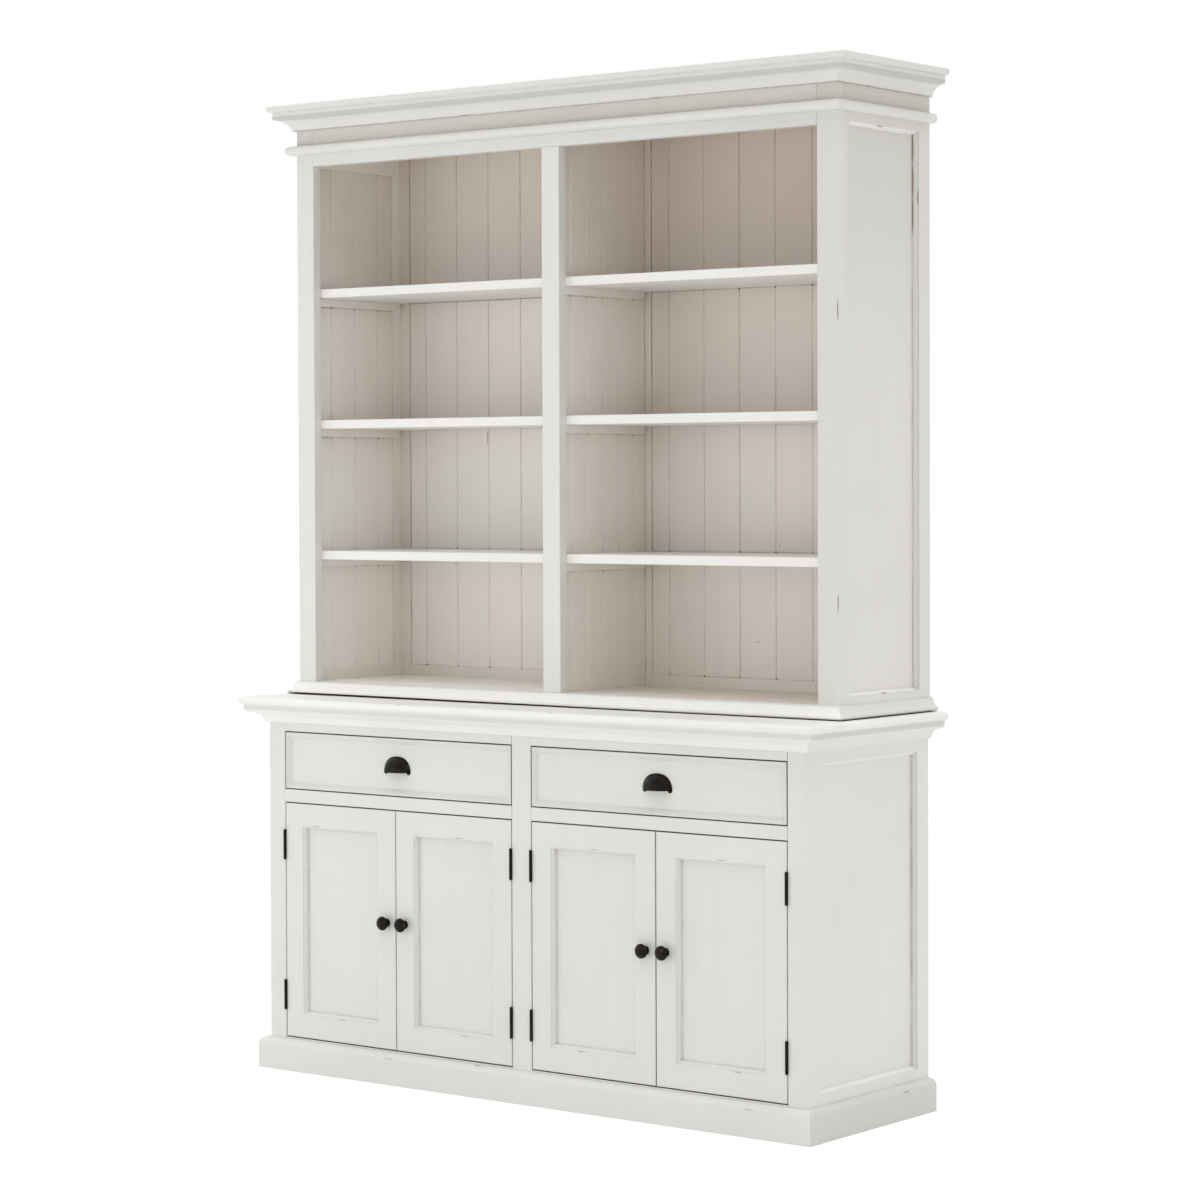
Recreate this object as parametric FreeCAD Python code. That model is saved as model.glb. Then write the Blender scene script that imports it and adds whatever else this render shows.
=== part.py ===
import FreeCAD, Part
import math
import os
from FreeCAD import Vector

# A white painted hutch bookcase: a base cupboard with four panelled doors and two drawers,
# and an open hutch of eight compartments on its table top. Millimetres, +Z up, X to the
# right and Y to the back. The origin is the middle of the footprint, on the floor.

# Overall sizes
carcass_width = 1490.0
carcass_depth = 452.0
table_overhang = 50.0
hutch_side_reach = 5.0
hutch_setback = 106.0
crown_overhang = 50.0

# Heights of the base, from the floor up
bottom_rail_height = 73.0
door_opening_height = 537.0
middle_rail_height = 29.0
drawer_opening_height = 132.0
top_rail_height = 60.0
table_thickness = 18.0

# Heights of the hutch, from the table top up
hutch_bottom_rail_height = 29.5
hutch_opening_height = 1182.5
hutch_top_rail_height = 40.0
frieze_height = 85.0
cap_thickness = 14.0

# Face frames
base_stile_width = 48.0
base_centre_stile_width = 53.0
base_frame_thickness = 22.0
hutch_stile_width = 51.0
hutch_centre_stile_width = 48.0
hutch_frame_thickness = 23.0
arris = 1.2

# Framed sides, with the panel in a rebate behind a planted moulding
side_board_thickness = 12.5
base_side_front_stile_width = 24.5
base_side_rear_stile_width = 42.5
base_side_bottom_rail_width = 94.0
base_side_top_rail_width = 66.0
hutch_side_front_stile_width = 17.5
hutch_side_rear_stile_width = 41.5
hutch_side_bottom_rail_width = 46.0
hutch_side_top_rail_width = 117.5
panel_moulding_width = 7.5
panel_moulding_depth = 13.0
lip_thickness = 2.5

# Framed backs
back_thickness = 22.0
back_stile_width = 21.0
back_centre_stile_width = 38.0
base_back_bottom_rail_width = 94.0
base_back_top_rail_width = 66.0
hutch_back_bottom_rail_width = 46.0
hutch_back_top_rail_width = 75.0

# Tongued and grooved boards
back_board_thickness = 12.0
back_board_width = 97.0
back_first_board_width = 56.0
side_board_width = 80.0
side_first_board_width = 46.0
partition_board_width = 56.0
partition_first_board_width = 35.5
board_chamfer = 2.0
tongue_length = 5.0
tongue_thickness = 4.0
tongue_play = 0.25

# Partitions, floors, shelves and cleats
partition_thickness = 20.0
floor_thickness = 18.0
shelf_thickness = 20.0
shelf_count = 3
shelf_play = 0.5
cleat_height = 18.0
cleat_thickness = 12.0
cleat_front_setback = 1.5
cleat_back_setback = 15.0
cleat_end_cut = 7.0
base_shelf_setback = 20.0
ceiling_thickness = 16.0
ceiling_drop = 60.0
bearer_width = 40.0
bearer_inset = 12.0

# Mouldings: projection and height of each run
plinth_thickness = 20.0
plinth_height = 70.0
table_moulding_projection = 41.0
table_moulding_height = 40.5
table_edge_radius = 8.0
hutch_moulding_projection = 20.5
hutch_moulding_seam = 2.0
astragal_projection = 19.5
astragal_height = 21.0
astragal_lift = 27.0
crown_projection = 39.0
crown_height = 42.0
cap_lower_radius = 9.0
cap_upper_radius = 3.5

# Doors
gap = 2.5
door_stile_width = 52.0
door_top_rail_width = 50.0
door_bottom_rail_width = 53.0
door_panel_thickness = 6.0

# Drawers
drawer_front_thickness = 20.0
drawer_border_width = 14.5
drawer_border_depth = 8.5
drawer_side_thickness = 12.0
drawer_side_height = 96.0
drawer_length = 385.0
drawer_side_inset = 6.0
drawer_bottom_thickness = 6.0
drawer_bottom_lift = 8.0
drawer_inner_thickness = 12.0
drawer_groove_depth = 5.0
drawer_groove_play = 0.2
runner_width = 45.0
runner_thickness = 20.0
runner_play = 0.3
guide_height = 20.0
guide_play = 1.0

# Butt hinges, in the gap beside each door
hinge_length = 65.0
hinge_inset = 62.0
hinge_barrel_radius = 3.0
hinge_pin_radius = 1.5
hinge_pin_play = 0.05
hinge_barrel_clearance = 0.3
hinge_leaf_thickness = 1.15
hinge_leaf_depth = 18.0
hinge_knuckles = 5
hinge_knuckle_play = 0.15
hinge_tip_radius = 2.6
hinge_tip_height = 1.6
hinge_screw_spacing = 38.0
hinge_screw_head_radius = 2.5
hinge_screw_radius = 1.3
hinge_screw_length = 16.0

# Knobs
knob_edge_distance = 25.0
knob_height = 357.5
knob_projection = 26.0
knob_head_radius = 15.5
knob_stem_radius = 5.5
knob_base_radius = 9.5
knob_base_thickness = 3.0
knob_screw_radius = 2.0
knob_screw_depth = 12.0
knob_screw_head_radius = 4.5
knob_screw_head_height = 2.2

# Cup pulls
pull_width = 71.0
pull_height = 32.5
pull_axis_depth = 10.0
pull_wall = 2.2
pull_flange_width = 2.5
pull_flange_thickness = 1.8
pull_ear_radius = 5.0
pull_drop = 11.5
pull_screw_radius = 1.4
pull_screw_length = 9.0
pull_screw_head_radius = 2.8
pull_screw_head_height = 1.6

# Door stops and magnetic catches
stop_thickness = 12.0
stop_drop = 20.0
catch_width = 36.0
catch_height = 14.0
catch_depth = 14.0
catch_edge_distance = 70.0
catch_play = 0.3
strike_thickness = 1.1
strike_margin = 3.0

# Screws that join the hutch to the table top, driven up from inside the base
joining_screw_radius = 2.5
joining_screw_length = 38.0
joining_screw_head_radius = 5.0
joining_screw_head_height = 3.0
joining_screw_inset = 60.0

# Mould outlines, as shares of each run's projection and height
plinth_shares = [(0, 0), (1, 0), (1, 0.83), ((0.74, 0.94), (0.1, 1)), (0, 1)]
table_moulding_shares = [(0, 0), (0.12, 0), (0.2, 0.07), ((0.46, 0.47), (0.86, 0.57)), (1, 0.7),
                         (1, 1), (0, 1)]
hutch_moulding_shares = [(0, 0), (0.85, 0), (1, 0.1), (1, 0.24), ((0.62, 0.42), (0.42, 0.7)), (0.38, 0.8),
                         ((0.32, 0.94), (0.12, 1)), (0, 1)]
astragal_shares = [(0, 0), (0.46, 0), ((1, 0.5), (0.46, 1)), (0, 1)]
crown_shares = [(0, 0), (0.18, 0), (0.2, 0.09), ((0.43, 0.4), (0.93, 0.6)), (1, 0.64), (1, 1), (0, 1)]

# Outlines round a recess, as shares of the distance in from its edge and of the depth
panel_moulding_shares = [(0, 1), (0, 0.1), (0.15, 0.1), ((0.62, 0.36), (0.82, 0.85)), (1, 0.85), (1, 1)]
drawer_border_shares = [(0, 1), (0, 0.12), (0.07, 0), (0.2, 0), (0.2, 0.12), ((0.45, 0.28), (0.6, 0.6)),
                        (0.68, 0.6), ((0.8, 0.86), (1, 0.96)), (1, 1)]

# Places along the knob, as shares of its projection, and across it, of its head
knob_neck_share = 0.36
knob_flare_share = (0.8, 0.47)
knob_rim_share = 0.58
knob_shoulder_share = (0.985, 0.68)
knob_dome_share = (0.9, 0.76)

# Arch of the cup pull, as shares of its half width and its height
pull_arch_shares = [(-1, 0), ((-0.905, 0.5), (-0.5, 0.905)), ((0, 1), (0.5, 0.905)), ((0.905, 0.5), (1, 0))]

# Cutting tools reach this far past what they cut
overrun = 5.0
full_turn = 360.0
quarter_turn = 90.0
half_turn = 180.0

# Planes and levels that follow from the sizes above
side_thickness = panel_moulding_depth + side_board_thickness + lip_thickness
door_thickness = panel_moulding_depth + door_panel_thickness + lip_thickness
hutch_moulding_height = hutch_bottom_rail_height - hutch_moulding_seam
back_y = (carcass_depth + table_overhang) / 2
front_y = back_y - carcass_depth
hutch_front_y = front_y + hutch_setback
half_base = carcass_width / 2
half_hutch = half_base + hutch_side_reach
base_frame_back_y = front_y + base_frame_thickness
hutch_frame_back_y = hutch_front_y + hutch_frame_thickness
inside_back_y = back_y - back_thickness
base_wall_x = half_base - side_thickness
hutch_wall_x = half_hutch - side_thickness

door_opening_z = bottom_rail_height
middle_rail_z = door_opening_z + door_opening_height
drawer_opening_z = middle_rail_z + middle_rail_height
top_rail_z = drawer_opening_z + drawer_opening_height
base_top_z = top_rail_z + top_rail_height
table_z = base_top_z + table_thickness
hutch_floor_z = table_z + hutch_bottom_rail_height
hutch_rail_z = hutch_floor_z + hutch_opening_height
frieze_z = hutch_rail_z + hutch_top_rail_height
cap_z = frieze_z + frieze_height

base_opening_inner_x = base_centre_stile_width / 2
base_opening_outer_x = half_base - base_stile_width
base_opening_width = base_opening_outer_x - base_opening_inner_x
door_width = (base_opening_width - gap) / 2 - gap
door_height = door_opening_height - 2 * gap
drawer_width = base_opening_width - 2 * gap
drawer_height = drawer_opening_height - 2 * gap
hutch_opening_inner_x = hutch_centre_stile_width / 2
hutch_opening_outer_x = half_hutch - hutch_stile_width

half_partition = partition_thickness / 2

ORIGIN = Vector(0, 0, 0)
RIGHT = Vector(1, 0, 0)
BACK = Vector(0, 1, 0)
UP = Vector(0, 0, 1)


# Helpers
def block(x0, x1, y0, y1, z0, z1):
    return Part.makeBox(x1 - x0, y1 - y0, z1 - z0, Vector(x0, y0, z0))


def prism(points, travel):
    """A straight-sided solid: the closed outline moved along one vector."""
    return Part.Face(Part.makePolygon(points + points[:1])).extrude(travel)


def mirrored(solids):
    return [solid.mirror(ORIGIN, RIGHT) for solid in solids]


def moved(solids, x, y, z):
    placed = []
    for solid in solids:
        copy = solid.copy()
        copy.translate(Vector(x, y, z))
        placed.append(copy)
    return placed


def turned_to_side(solids, outer_x):
    """Local X, Y, Z become world Y, inward from the side's outer face, and Z."""
    placed = []
    for solid in solids:
        copy = solid.copy()
        copy.rotate(ORIGIN, UP, quarter_turn)
        copy.translate(Vector(outer_x, 0, 0))
        placed.append(copy)
    return placed


def near(value, target):
    return abs(value - target) < arris / 4


def eased_uprights(solid, face_y):
    """Break the upright edges of a board's front face with a small flat."""
    edges = []
    for edge in solid.Edges:
        box = edge.BoundBox
        if near(box.YMin, face_y) and near(box.YMax, face_y) and near(box.XLength, 0):
            edges.append(edge)
    return solid.makeChamfer(arris, edges)


def eased_levels(solid, face_y):
    """Break the level edges of a board's front face with a small flat."""
    edges = []
    for edge in solid.Edges:
        box = edge.BoundBox
        if near(box.YMin, face_y) and near(box.YMax, face_y) and near(box.ZLength, 0):
            edges.append(edge)
    return solid.makeChamfer(arris, edges)


def outline_face(shares, across, along):
    """Face from shares of two sides, given as vectors. A pair of points is an arc."""
    def place(point):
        return across * point[0] + along * point[1]
    edges = []
    start = place(shares[0])
    for item in shares[1:] + shares[:1]:
        if isinstance(item[0], tuple):
            middle = place(item[0])
            end = place(item[1])
            edges.append(Part.Arc(start, middle, end).toShape())
        else:
            end = place(item)
            edges.append(Part.makeLine(start, end))
        start = end
    return Part.Face(Part.Wire(edges))


def wrapped_run(shares, projection, height, half_width, face_y, base_z):
    """A moulding run along the front and both sides, mitred at the two front corners."""
    reach = half_width + projection
    tip_y = face_y - projection
    rise = Vector(0, 0, height)
    front = outline_face(shares, Vector(0, -projection, 0), rise)
    front = front.extrude(Vector(reach * 2, 0, 0))
    front.translate(Vector(-reach, face_y, base_z))
    side = outline_face(shares, Vector(projection, 0, 0), rise)
    side = side.extrude(Vector(0, back_y - tip_y, 0))
    side.translate(Vector(half_width, tip_y, base_z))
    corner = Vector(half_width, face_y, base_z)
    tip = Vector(reach, tip_y, base_z)
    front_plan = [Vector(-half_width, face_y, base_z), corner, tip, Vector(-reach, tip_y, base_z)]
    side_plan = [corner, tip, Vector(reach, back_y, base_z), Vector(half_width, back_y, base_z)]
    front = front.common(prism(front_plan, rise)).Solids[0]
    side = side.common(prism(side_plan, rise)).Solids[0]
    return [front, side] + mirrored([side])


def mitred_ring(shares, width, depth, u0, u1, v0, v1):
    """Four mitred strips round the inside of a rectangle, in the local frame of a panel."""
    section = outline_face(shares, Vector(0, 0, width), Vector(0, depth, 0))
    middle = Vector((u0 + u1) / 2, 0, (v0 + v1) / 2)
    strips = []
    for turn, run, fall in ((0, u1 - u0, v1 - v0), (quarter_turn, v1 - v0, u1 - u0)):
        corners = [(0, 0), (run, 0), (run - width, width), (width, width)]
        plan = [Vector(u, 0, v) for u, v in corners]
        strip = section.extrude(Vector(run, 0, 0))
        strip = strip.common(prism(plan, Vector(0, depth, 0))).Solids[0]
        strip.translate(Vector(-run / 2, 0, -fall / 2))
        for half in (0, half_turn):
            copy = strip.copy()
            copy.rotate(ORIGIN, BACK, turn + half)
            copy.translate(middle)
            strips.append(copy)
    return strips


def rebated_frame(stiles, v0, v1, bottom, top, thickness, lip_start):
    """Stiles and rails in a local frame: X across, Y inward from the face, Z up.

    stiles lists the (start, end) of each upright. A thin lip round each opening, at
    lip_start from the face, holds the panel.
    """
    lip_end = lip_start + lip_thickness
    opening_v0 = v0 + bottom
    opening_v1 = v1 - top
    solids = []
    for index, (start, end) in enumerate(stiles):
        stile = block(start, end, 0, thickness, v0, v1)
        if index > 0:
            inner = start - panel_moulding_width
            stile = stile.fuse(block(inner, start, lip_start, lip_end, opening_v0, opening_v1))
        if index < len(stiles) - 1:
            inner = end + panel_moulding_width
            stile = stile.fuse(block(end, inner, lip_start, lip_end, opening_v0, opening_v1))
        solids.append(stile)
    for left, right in zip(stiles, stiles[1:]):
        u0 = left[1]
        u1 = right[0]
        lip_u0 = u0 + panel_moulding_width
        lip_u1 = u1 - panel_moulding_width
        low_lip = opening_v0 + panel_moulding_width
        high_lip = opening_v1 - panel_moulding_width
        lower = block(u0, u1, 0, thickness, v0, opening_v0)
        upper = block(u0, u1, 0, thickness, opening_v1, v1)
        solids.append(lower.fuse(block(lip_u0, lip_u1, lip_start, lip_end, opening_v0, low_lip)))
        solids.append(upper.fuse(block(lip_u0, lip_u1, lip_start, lip_end, high_lip, opening_v1)))
    return solids


def board(u0, u1, v0, v1, face, thickness, worn_front, worn_back, first, last):
    """One upright tongued and grooved board in a local frame, with chamfered long edges."""
    back = face + thickness
    middle = face + thickness / 2
    half = tongue_thickness / 2
    front_cut = board_chamfer if worn_front else 0
    back_cut = board_chamfer if worn_back else 0
    right = [(u1 - front_cut, face), (u1, face + front_cut)]
    if not last:
        tip = u1 + tongue_length
        right += [(u1, middle - half), (tip, middle - half), (tip, middle + half), (u1, middle + half)]
    right += [(u1, back - back_cut), (u1 - back_cut, back)]
    left = [(u0 + back_cut, back), (u0, back - back_cut)]
    if not first:
        tip = u0 + tongue_length + tongue_play
        wide = half + tongue_play
        left += [(u0, middle + wide), (tip, middle + wide), (tip, middle - wide), (u0, middle - wide)]
    left += [(u0, face + front_cut), (u0 + front_cut, face)]
    points = []
    for u, d in right + left:
        point = Vector(u, d, v0)
        if not points or points[-1] != point:
            points.append(point)
    return prism(points, Vector(0, 0, v1 - v0))


def board_row(u0, u1, v0, v1, face, thickness, first_width, width, worn_front, worn_back):
    """Boards side by side from u0 to u1: a narrow first one, whole ones, and what is left."""
    edges = [u0, u0 + first_width]
    while edges[-1] + width < u1 - width / 4:
        edges.append(edges[-1] + width)
    edges.append(u1)
    solids = []
    for index in range(len(edges) - 1):
        first = index == 0
        last = index == len(edges) - 2
        solids.append(board(edges[index], edges[index + 1], v0, v1, face, thickness,
                            worn_front, worn_back, first, last))
    return solids


def cleat(wall_x, inward, shelf_z, y0, y1):
    """A batten under a shelf's end, with its far lower corner cut off."""
    corners = [(y0, shelf_z), (y1, shelf_z), (y1, shelf_z - cleat_height + cleat_end_cut),
               (y1 - cleat_end_cut, shelf_z - cleat_height), (y0, shelf_z - cleat_height)]
    points = [Vector(wall_x, y, z) for y, z in corners]
    return prism(points, Vector(inward * cleat_thickness, 0, 0))


# Face frames
def base_face_frame():
    """Three stiles the full height, with rails between them in each bay."""
    back = base_frame_back_y
    stile = block(base_opening_outer_x, half_base, front_y, back, 0, base_top_z)
    solids = [eased_uprights(stile, front_y)]
    for low, high in ((0, door_opening_z), (middle_rail_z, drawer_opening_z), (top_rail_z, base_top_z)):
        rail = block(base_opening_inner_x, base_opening_outer_x, front_y, back, low, high)
        solids.append(eased_levels(rail, front_y))
    centre = block(-base_opening_inner_x, base_opening_inner_x, front_y, back, 0, base_top_z)
    return solids + mirrored(solids) + [eased_uprights(centre, front_y)]


def hutch_face_frame():
    """Outer stiles up to the cap, rails right across between them, and a centre stile between the rails."""
    back = hutch_frame_back_y
    stile = block(hutch_opening_outer_x, half_hutch, hutch_front_y, back, table_z, cap_z)
    solids = [eased_uprights(stile, hutch_front_y)]
    solids += mirrored(solids)
    centre = block(-hutch_opening_inner_x, hutch_opening_inner_x, hutch_front_y, back,
                   hutch_floor_z, hutch_rail_z)
    solids.append(eased_uprights(centre, hutch_front_y))
    for low, high in ((table_z, hutch_floor_z), (hutch_rail_z, frieze_z)):
        rail = block(-hutch_opening_outer_x, hutch_opening_outer_x, hutch_front_y, back, low, high)
        solids.append(eased_levels(rail, hutch_front_y))
    return solids


# Framed sides
def side_stiles(face_y, front_stile, rear_stile):
    return [(face_y, face_y + front_stile), (back_y - rear_stile, back_y)]


base_side_stiles = side_stiles(base_frame_back_y, base_side_front_stile_width, base_side_rear_stile_width)
hutch_side_stiles = side_stiles(hutch_frame_back_y, hutch_side_front_stile_width, hutch_side_rear_stile_width)
base_panel_levels = (base_side_bottom_rail_width, base_top_z - base_side_top_rail_width)
hutch_panel_levels = (table_z + hutch_side_bottom_rail_width, cap_z - hutch_side_top_rail_width)
side_lip_start = panel_moulding_depth + side_board_thickness


def base_side_frame():
    solids = rebated_frame(base_side_stiles, 0, base_top_z, base_side_bottom_rail_width,
                           base_side_top_rail_width, side_thickness, side_lip_start)
    return turned_to_side(solids, half_base)


def hutch_side_frame():
    solids = rebated_frame(hutch_side_stiles, table_z, cap_z, hutch_side_bottom_rail_width,
                           hutch_side_top_rail_width, side_thickness, side_lip_start)
    return turned_to_side(solids, half_hutch)


def side_moulding(stiles, levels, outer_x):
    strips = mitred_ring(panel_moulding_shares, panel_moulding_width, panel_moulding_depth,
                         stiles[0][1], stiles[1][0], levels[0], levels[1])
    return turned_to_side(strips, outer_x)


def base_side_panel():
    panel = block(base_side_stiles[0][1], base_side_stiles[1][0], panel_moulding_depth, side_lip_start,
                  base_panel_levels[0], base_panel_levels[1])
    return turned_to_side([panel], half_base)


def hutch_side_boards():
    boards = board_row(hutch_side_stiles[0][1], hutch_side_stiles[1][0], hutch_panel_levels[0],
                       hutch_panel_levels[1], panel_moulding_depth, side_board_thickness,
                       side_first_board_width, side_board_width, False, True)
    return turned_to_side(boards, half_hutch)


# Framed backs
def back_stiles(wall_x):
    half_centre = back_centre_stile_width / 2
    return [(-wall_x, back_stile_width - wall_x), (-half_centre, half_centre),
            (wall_x - back_stile_width, wall_x)]


def back_frame(wall_x, z0, z1, bottom, top):
    solids = rebated_frame(back_stiles(wall_x), z0, z1, bottom, top, back_thickness, 0)
    return moved(solids, 0, inside_back_y, 0)


def back_boards(wall_x, z0, z1):
    stiles = back_stiles(wall_x)
    solids = []
    for left, right in zip(stiles, stiles[1:]):
        solids += board_row(left[1], right[0], z0, z1, lip_thickness, back_board_thickness,
                            back_first_board_width, back_board_width, True, False)
    return moved(solids, 0, inside_back_y, 0)


# Partitions, floors, shelves and cleats
def base_partition():
    return [block(-half_partition, half_partition, base_frame_back_y, inside_back_y,
                  door_opening_z - floor_thickness, base_top_z)]


def hutch_partition():
    boards = board_row(hutch_frame_back_y, inside_back_y, hutch_floor_z, ceiling_z, 0, partition_thickness,
                       partition_first_board_width, partition_board_width, True, True)
    return turned_to_side(boards, half_partition)


def base_floor():
    right = block(half_partition, base_wall_x, base_frame_back_y, inside_back_y,
                  door_opening_z - floor_thickness, door_opening_z)
    return [right] + mirrored([right])


ceiling_z = cap_z - ceiling_drop - ceiling_thickness
bearer_centres = [half_partition + bearer_inset + bearer_width / 2,
                  hutch_wall_x - bearer_inset - bearer_width / 2]
bearer_centres += [-x for x in bearer_centres]


def joining_screws():
    """Screws up through the table top and each bearer into the hutch floor."""
    screws = []
    for x in bearer_centres:
        for y in (hutch_frame_back_y + joining_screw_inset, inside_back_y - joining_screw_inset):
            foot = Vector(x, y, base_top_z - joining_screw_head_height)
            head = Part.makeCylinder(joining_screw_head_radius, joining_screw_head_height, foot)
            shank = Part.makeCylinder(joining_screw_radius, joining_screw_length, Vector(x, y, base_top_z))
            screws.append(head.fuse(shank))
    return screws


def hutch_floor(screws):
    floor_z = hutch_floor_z - floor_thickness
    solids = [block(-hutch_wall_x, hutch_wall_x, hutch_frame_back_y, inside_back_y, floor_z, hutch_floor_z)]
    for x in bearer_centres:
        solids.append(block(x - bearer_width / 2, x + bearer_width / 2, hutch_frame_back_y, inside_back_y,
                            table_z, floor_z))
    return [solid.cut(screws) for solid in solids]


def hutch_ceiling():
    return [block(-hutch_wall_x, hutch_wall_x, hutch_frame_back_y, inside_back_y, ceiling_z,
                  ceiling_z + ceiling_thickness)]


def shelf_levels():
    """Undersides of the hutch shelves, equally spaced in the opening."""
    space = (hutch_opening_height - shelf_count * shelf_thickness) / (shelf_count + 1)
    return [hutch_floor_z + space + index * (space + shelf_thickness) for index in range(shelf_count)]


def hutch_shelves():
    solids = []
    for z in shelf_levels():
        shelf = block(half_partition + shelf_play, hutch_wall_x - shelf_play, hutch_frame_back_y,
                      inside_back_y, z, z + shelf_thickness)
        solids.append(eased_levels(shelf, hutch_frame_back_y))
    return solids + mirrored(solids)


def hutch_cleats():
    y0 = hutch_frame_back_y + cleat_front_setback
    y1 = inside_back_y - cleat_back_setback
    solids = []
    for z in shelf_levels():
        solids.append(cleat(hutch_wall_x, -1, z, y0, y1))
        solids.append(cleat(half_partition, 1, z, y0, y1))
    return solids + mirrored(solids)


base_shelf_z = door_opening_z + (door_opening_height - shelf_thickness) / 2
base_shelf_front_y = base_frame_back_y + base_shelf_setback


def base_shelves():
    shelf = block(half_partition + shelf_play, base_wall_x - shelf_play, base_shelf_front_y,
                  inside_back_y, base_shelf_z, base_shelf_z + shelf_thickness)
    shelf = eased_levels(shelf, base_shelf_front_y)
    return [shelf] + mirrored([shelf])


def base_cleats():
    y0 = base_shelf_front_y + cleat_front_setback
    y1 = inside_back_y - cleat_back_setback
    right = [cleat(base_wall_x, -1, base_shelf_z, y0, y1), cleat(half_partition, 1, base_shelf_z, y0, y1)]
    return right + mirrored(right)


# Drawer runners with side guides, door stops and catches
def drawer_runners():
    low = drawer_opening_z - runner_thickness
    high = drawer_opening_z + guide_height
    y0 = base_frame_back_y
    y1 = inside_back_y
    box_inner_x = base_opening_inner_x + drawer_side_inset - guide_play
    box_outer_x = base_opening_outer_x - drawer_side_inset + guide_play
    right = [block(half_partition, half_partition + runner_width, y0, y1, low, drawer_opening_z),
             block(base_wall_x - runner_width, base_wall_x, y0, y1, low, drawer_opening_z),
             block(half_partition, box_inner_x, y0, y1, drawer_opening_z, high),
             block(box_outer_x, base_wall_x, y0, y1, drawer_opening_z, high)]
    return right + mirrored(right)


stop_z = middle_rail_z - stop_drop


def door_stops():
    right = block(half_partition + runner_width, base_wall_x - runner_width, base_frame_back_y,
                  base_frame_back_y + stop_thickness, stop_z, drawer_opening_z)
    return [right] + mirrored([right])


def catches():
    """One magnetic catch for each door, under the stop strip and clear of the strike plate."""
    y0 = front_y + door_thickness + strike_thickness + catch_play
    meeting_x = (base_opening_inner_x + base_opening_outer_x) / 2
    solids = []
    for side in (-1, 1):
        x = meeting_x + side * catch_edge_distance
        solids.append(block(x - catch_width / 2, x + catch_width / 2, y0, y0 + catch_depth,
                            stop_z - catch_height, stop_z))
    return solids + mirrored(solids)


# Table top, cap and moulding runs
def rounded_slab(half_width, face_y, z0, z1, lower_radius, upper_radius):
    """A board with rounded edges along its front and both ends."""
    slab = block(-half_width, half_width, face_y, back_y, z0, z1)
    for z, radius in ((z0, lower_radius), (z1, upper_radius)):
        edges = []
        for edge in slab.Edges:
            box = edge.BoundBox
            if near(box.ZMin, z) and near(box.ZMax, z) and near(box.YMin, face_y):
                edges.append(edge)
        slab = slab.makeFillet(radius, edges)
    return slab


def table_top(screws):
    slab = rounded_slab(half_base + table_overhang, front_y - table_overhang, base_top_z, table_z,
                        table_edge_radius, table_edge_radius)
    return [slab.cut(screws)]


def cap():
    return [rounded_slab(half_hutch + crown_overhang, hutch_front_y - crown_overhang, cap_z,
                         cap_z + cap_thickness, cap_lower_radius, cap_upper_radius)]


def plinth():
    return wrapped_run(plinth_shares, plinth_thickness, plinth_height, half_base, front_y, 0)


def table_moulding():
    return wrapped_run(table_moulding_shares, table_moulding_projection, table_moulding_height,
                       half_base, front_y, base_top_z - table_moulding_height)


def hutch_moulding():
    return wrapped_run(hutch_moulding_shares, hutch_moulding_projection, hutch_moulding_height,
                       half_hutch, hutch_front_y, table_z + hutch_moulding_seam)


def astragal():
    return wrapped_run(astragal_shares, astragal_projection, astragal_height, half_hutch, hutch_front_y,
                       hutch_rail_z + astragal_lift)


def crown():
    return wrapped_run(crown_shares, crown_projection, crown_height, half_hutch, hutch_front_y,
                       cap_z - crown_height)


def frieze():
    return [block(-hutch_opening_outer_x, hutch_opening_outer_x, hutch_front_y, hutch_frame_back_y,
                  frieze_z, cap_z)]


# Hinges, in the frame of a left-hung door: its lower left front corner is the origin
hinge_x = -gap / 2
hinge_y = -(hinge_barrel_radius + hinge_barrel_clearance)
hinge_levels = (hinge_inset, door_height - hinge_inset - hinge_length)
knuckle_pitch = hinge_length / hinge_knuckles


def hinge_screws(start_x, direction):
    """Countersunk screws through a leaf whose open face is at start_x."""
    screws = []
    y = (hinge_barrel_clearance + hinge_leaf_depth) / 2
    axis = Vector(direction, 0, 0)
    for level in hinge_levels:
        for side in (-1, 1):
            z = level + (hinge_length + side * hinge_screw_spacing) / 2
            head = Part.makeCone(hinge_screw_head_radius, hinge_screw_radius, hinge_leaf_thickness,
                                 Vector(start_x, y, z), axis)
            seat_x = start_x + direction * hinge_leaf_thickness
            shank = Part.makeCylinder(hinge_screw_radius, hinge_screw_length, Vector(seat_x, y, z), axis)
            screws.append(head.fuse(shank))
    return screws


def hinge_leaves(plate_x, first_knuckle):
    """One leaf of each hinge, with every other knuckle of its barrel."""
    leaves = []
    for level in hinge_levels:
        x1 = plate_x + hinge_leaf_thickness
        leaf = block(plate_x, x1, hinge_barrel_clearance, hinge_leaf_depth, level, level + hinge_length)
        for index in range(first_knuckle, hinge_knuckles, 2):
            low = level + index * knuckle_pitch + hinge_knuckle_play / 2
            high = level + (index + 1) * knuckle_pitch - hinge_knuckle_play / 2
            barrel = Part.makeCylinder(hinge_barrel_radius, high - low, Vector(hinge_x, hinge_y, low))
            leaf = leaf.fuse([block(plate_x, x1, hinge_y, hinge_barrel_clearance, low, high), barrel])
        bore = Part.makeCylinder(hinge_pin_radius + hinge_pin_play, hinge_length + 2 * overrun,
                                 Vector(hinge_x, hinge_y, level - overrun))
        leaves.append(leaf.cut(bore))
    return leaves


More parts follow.
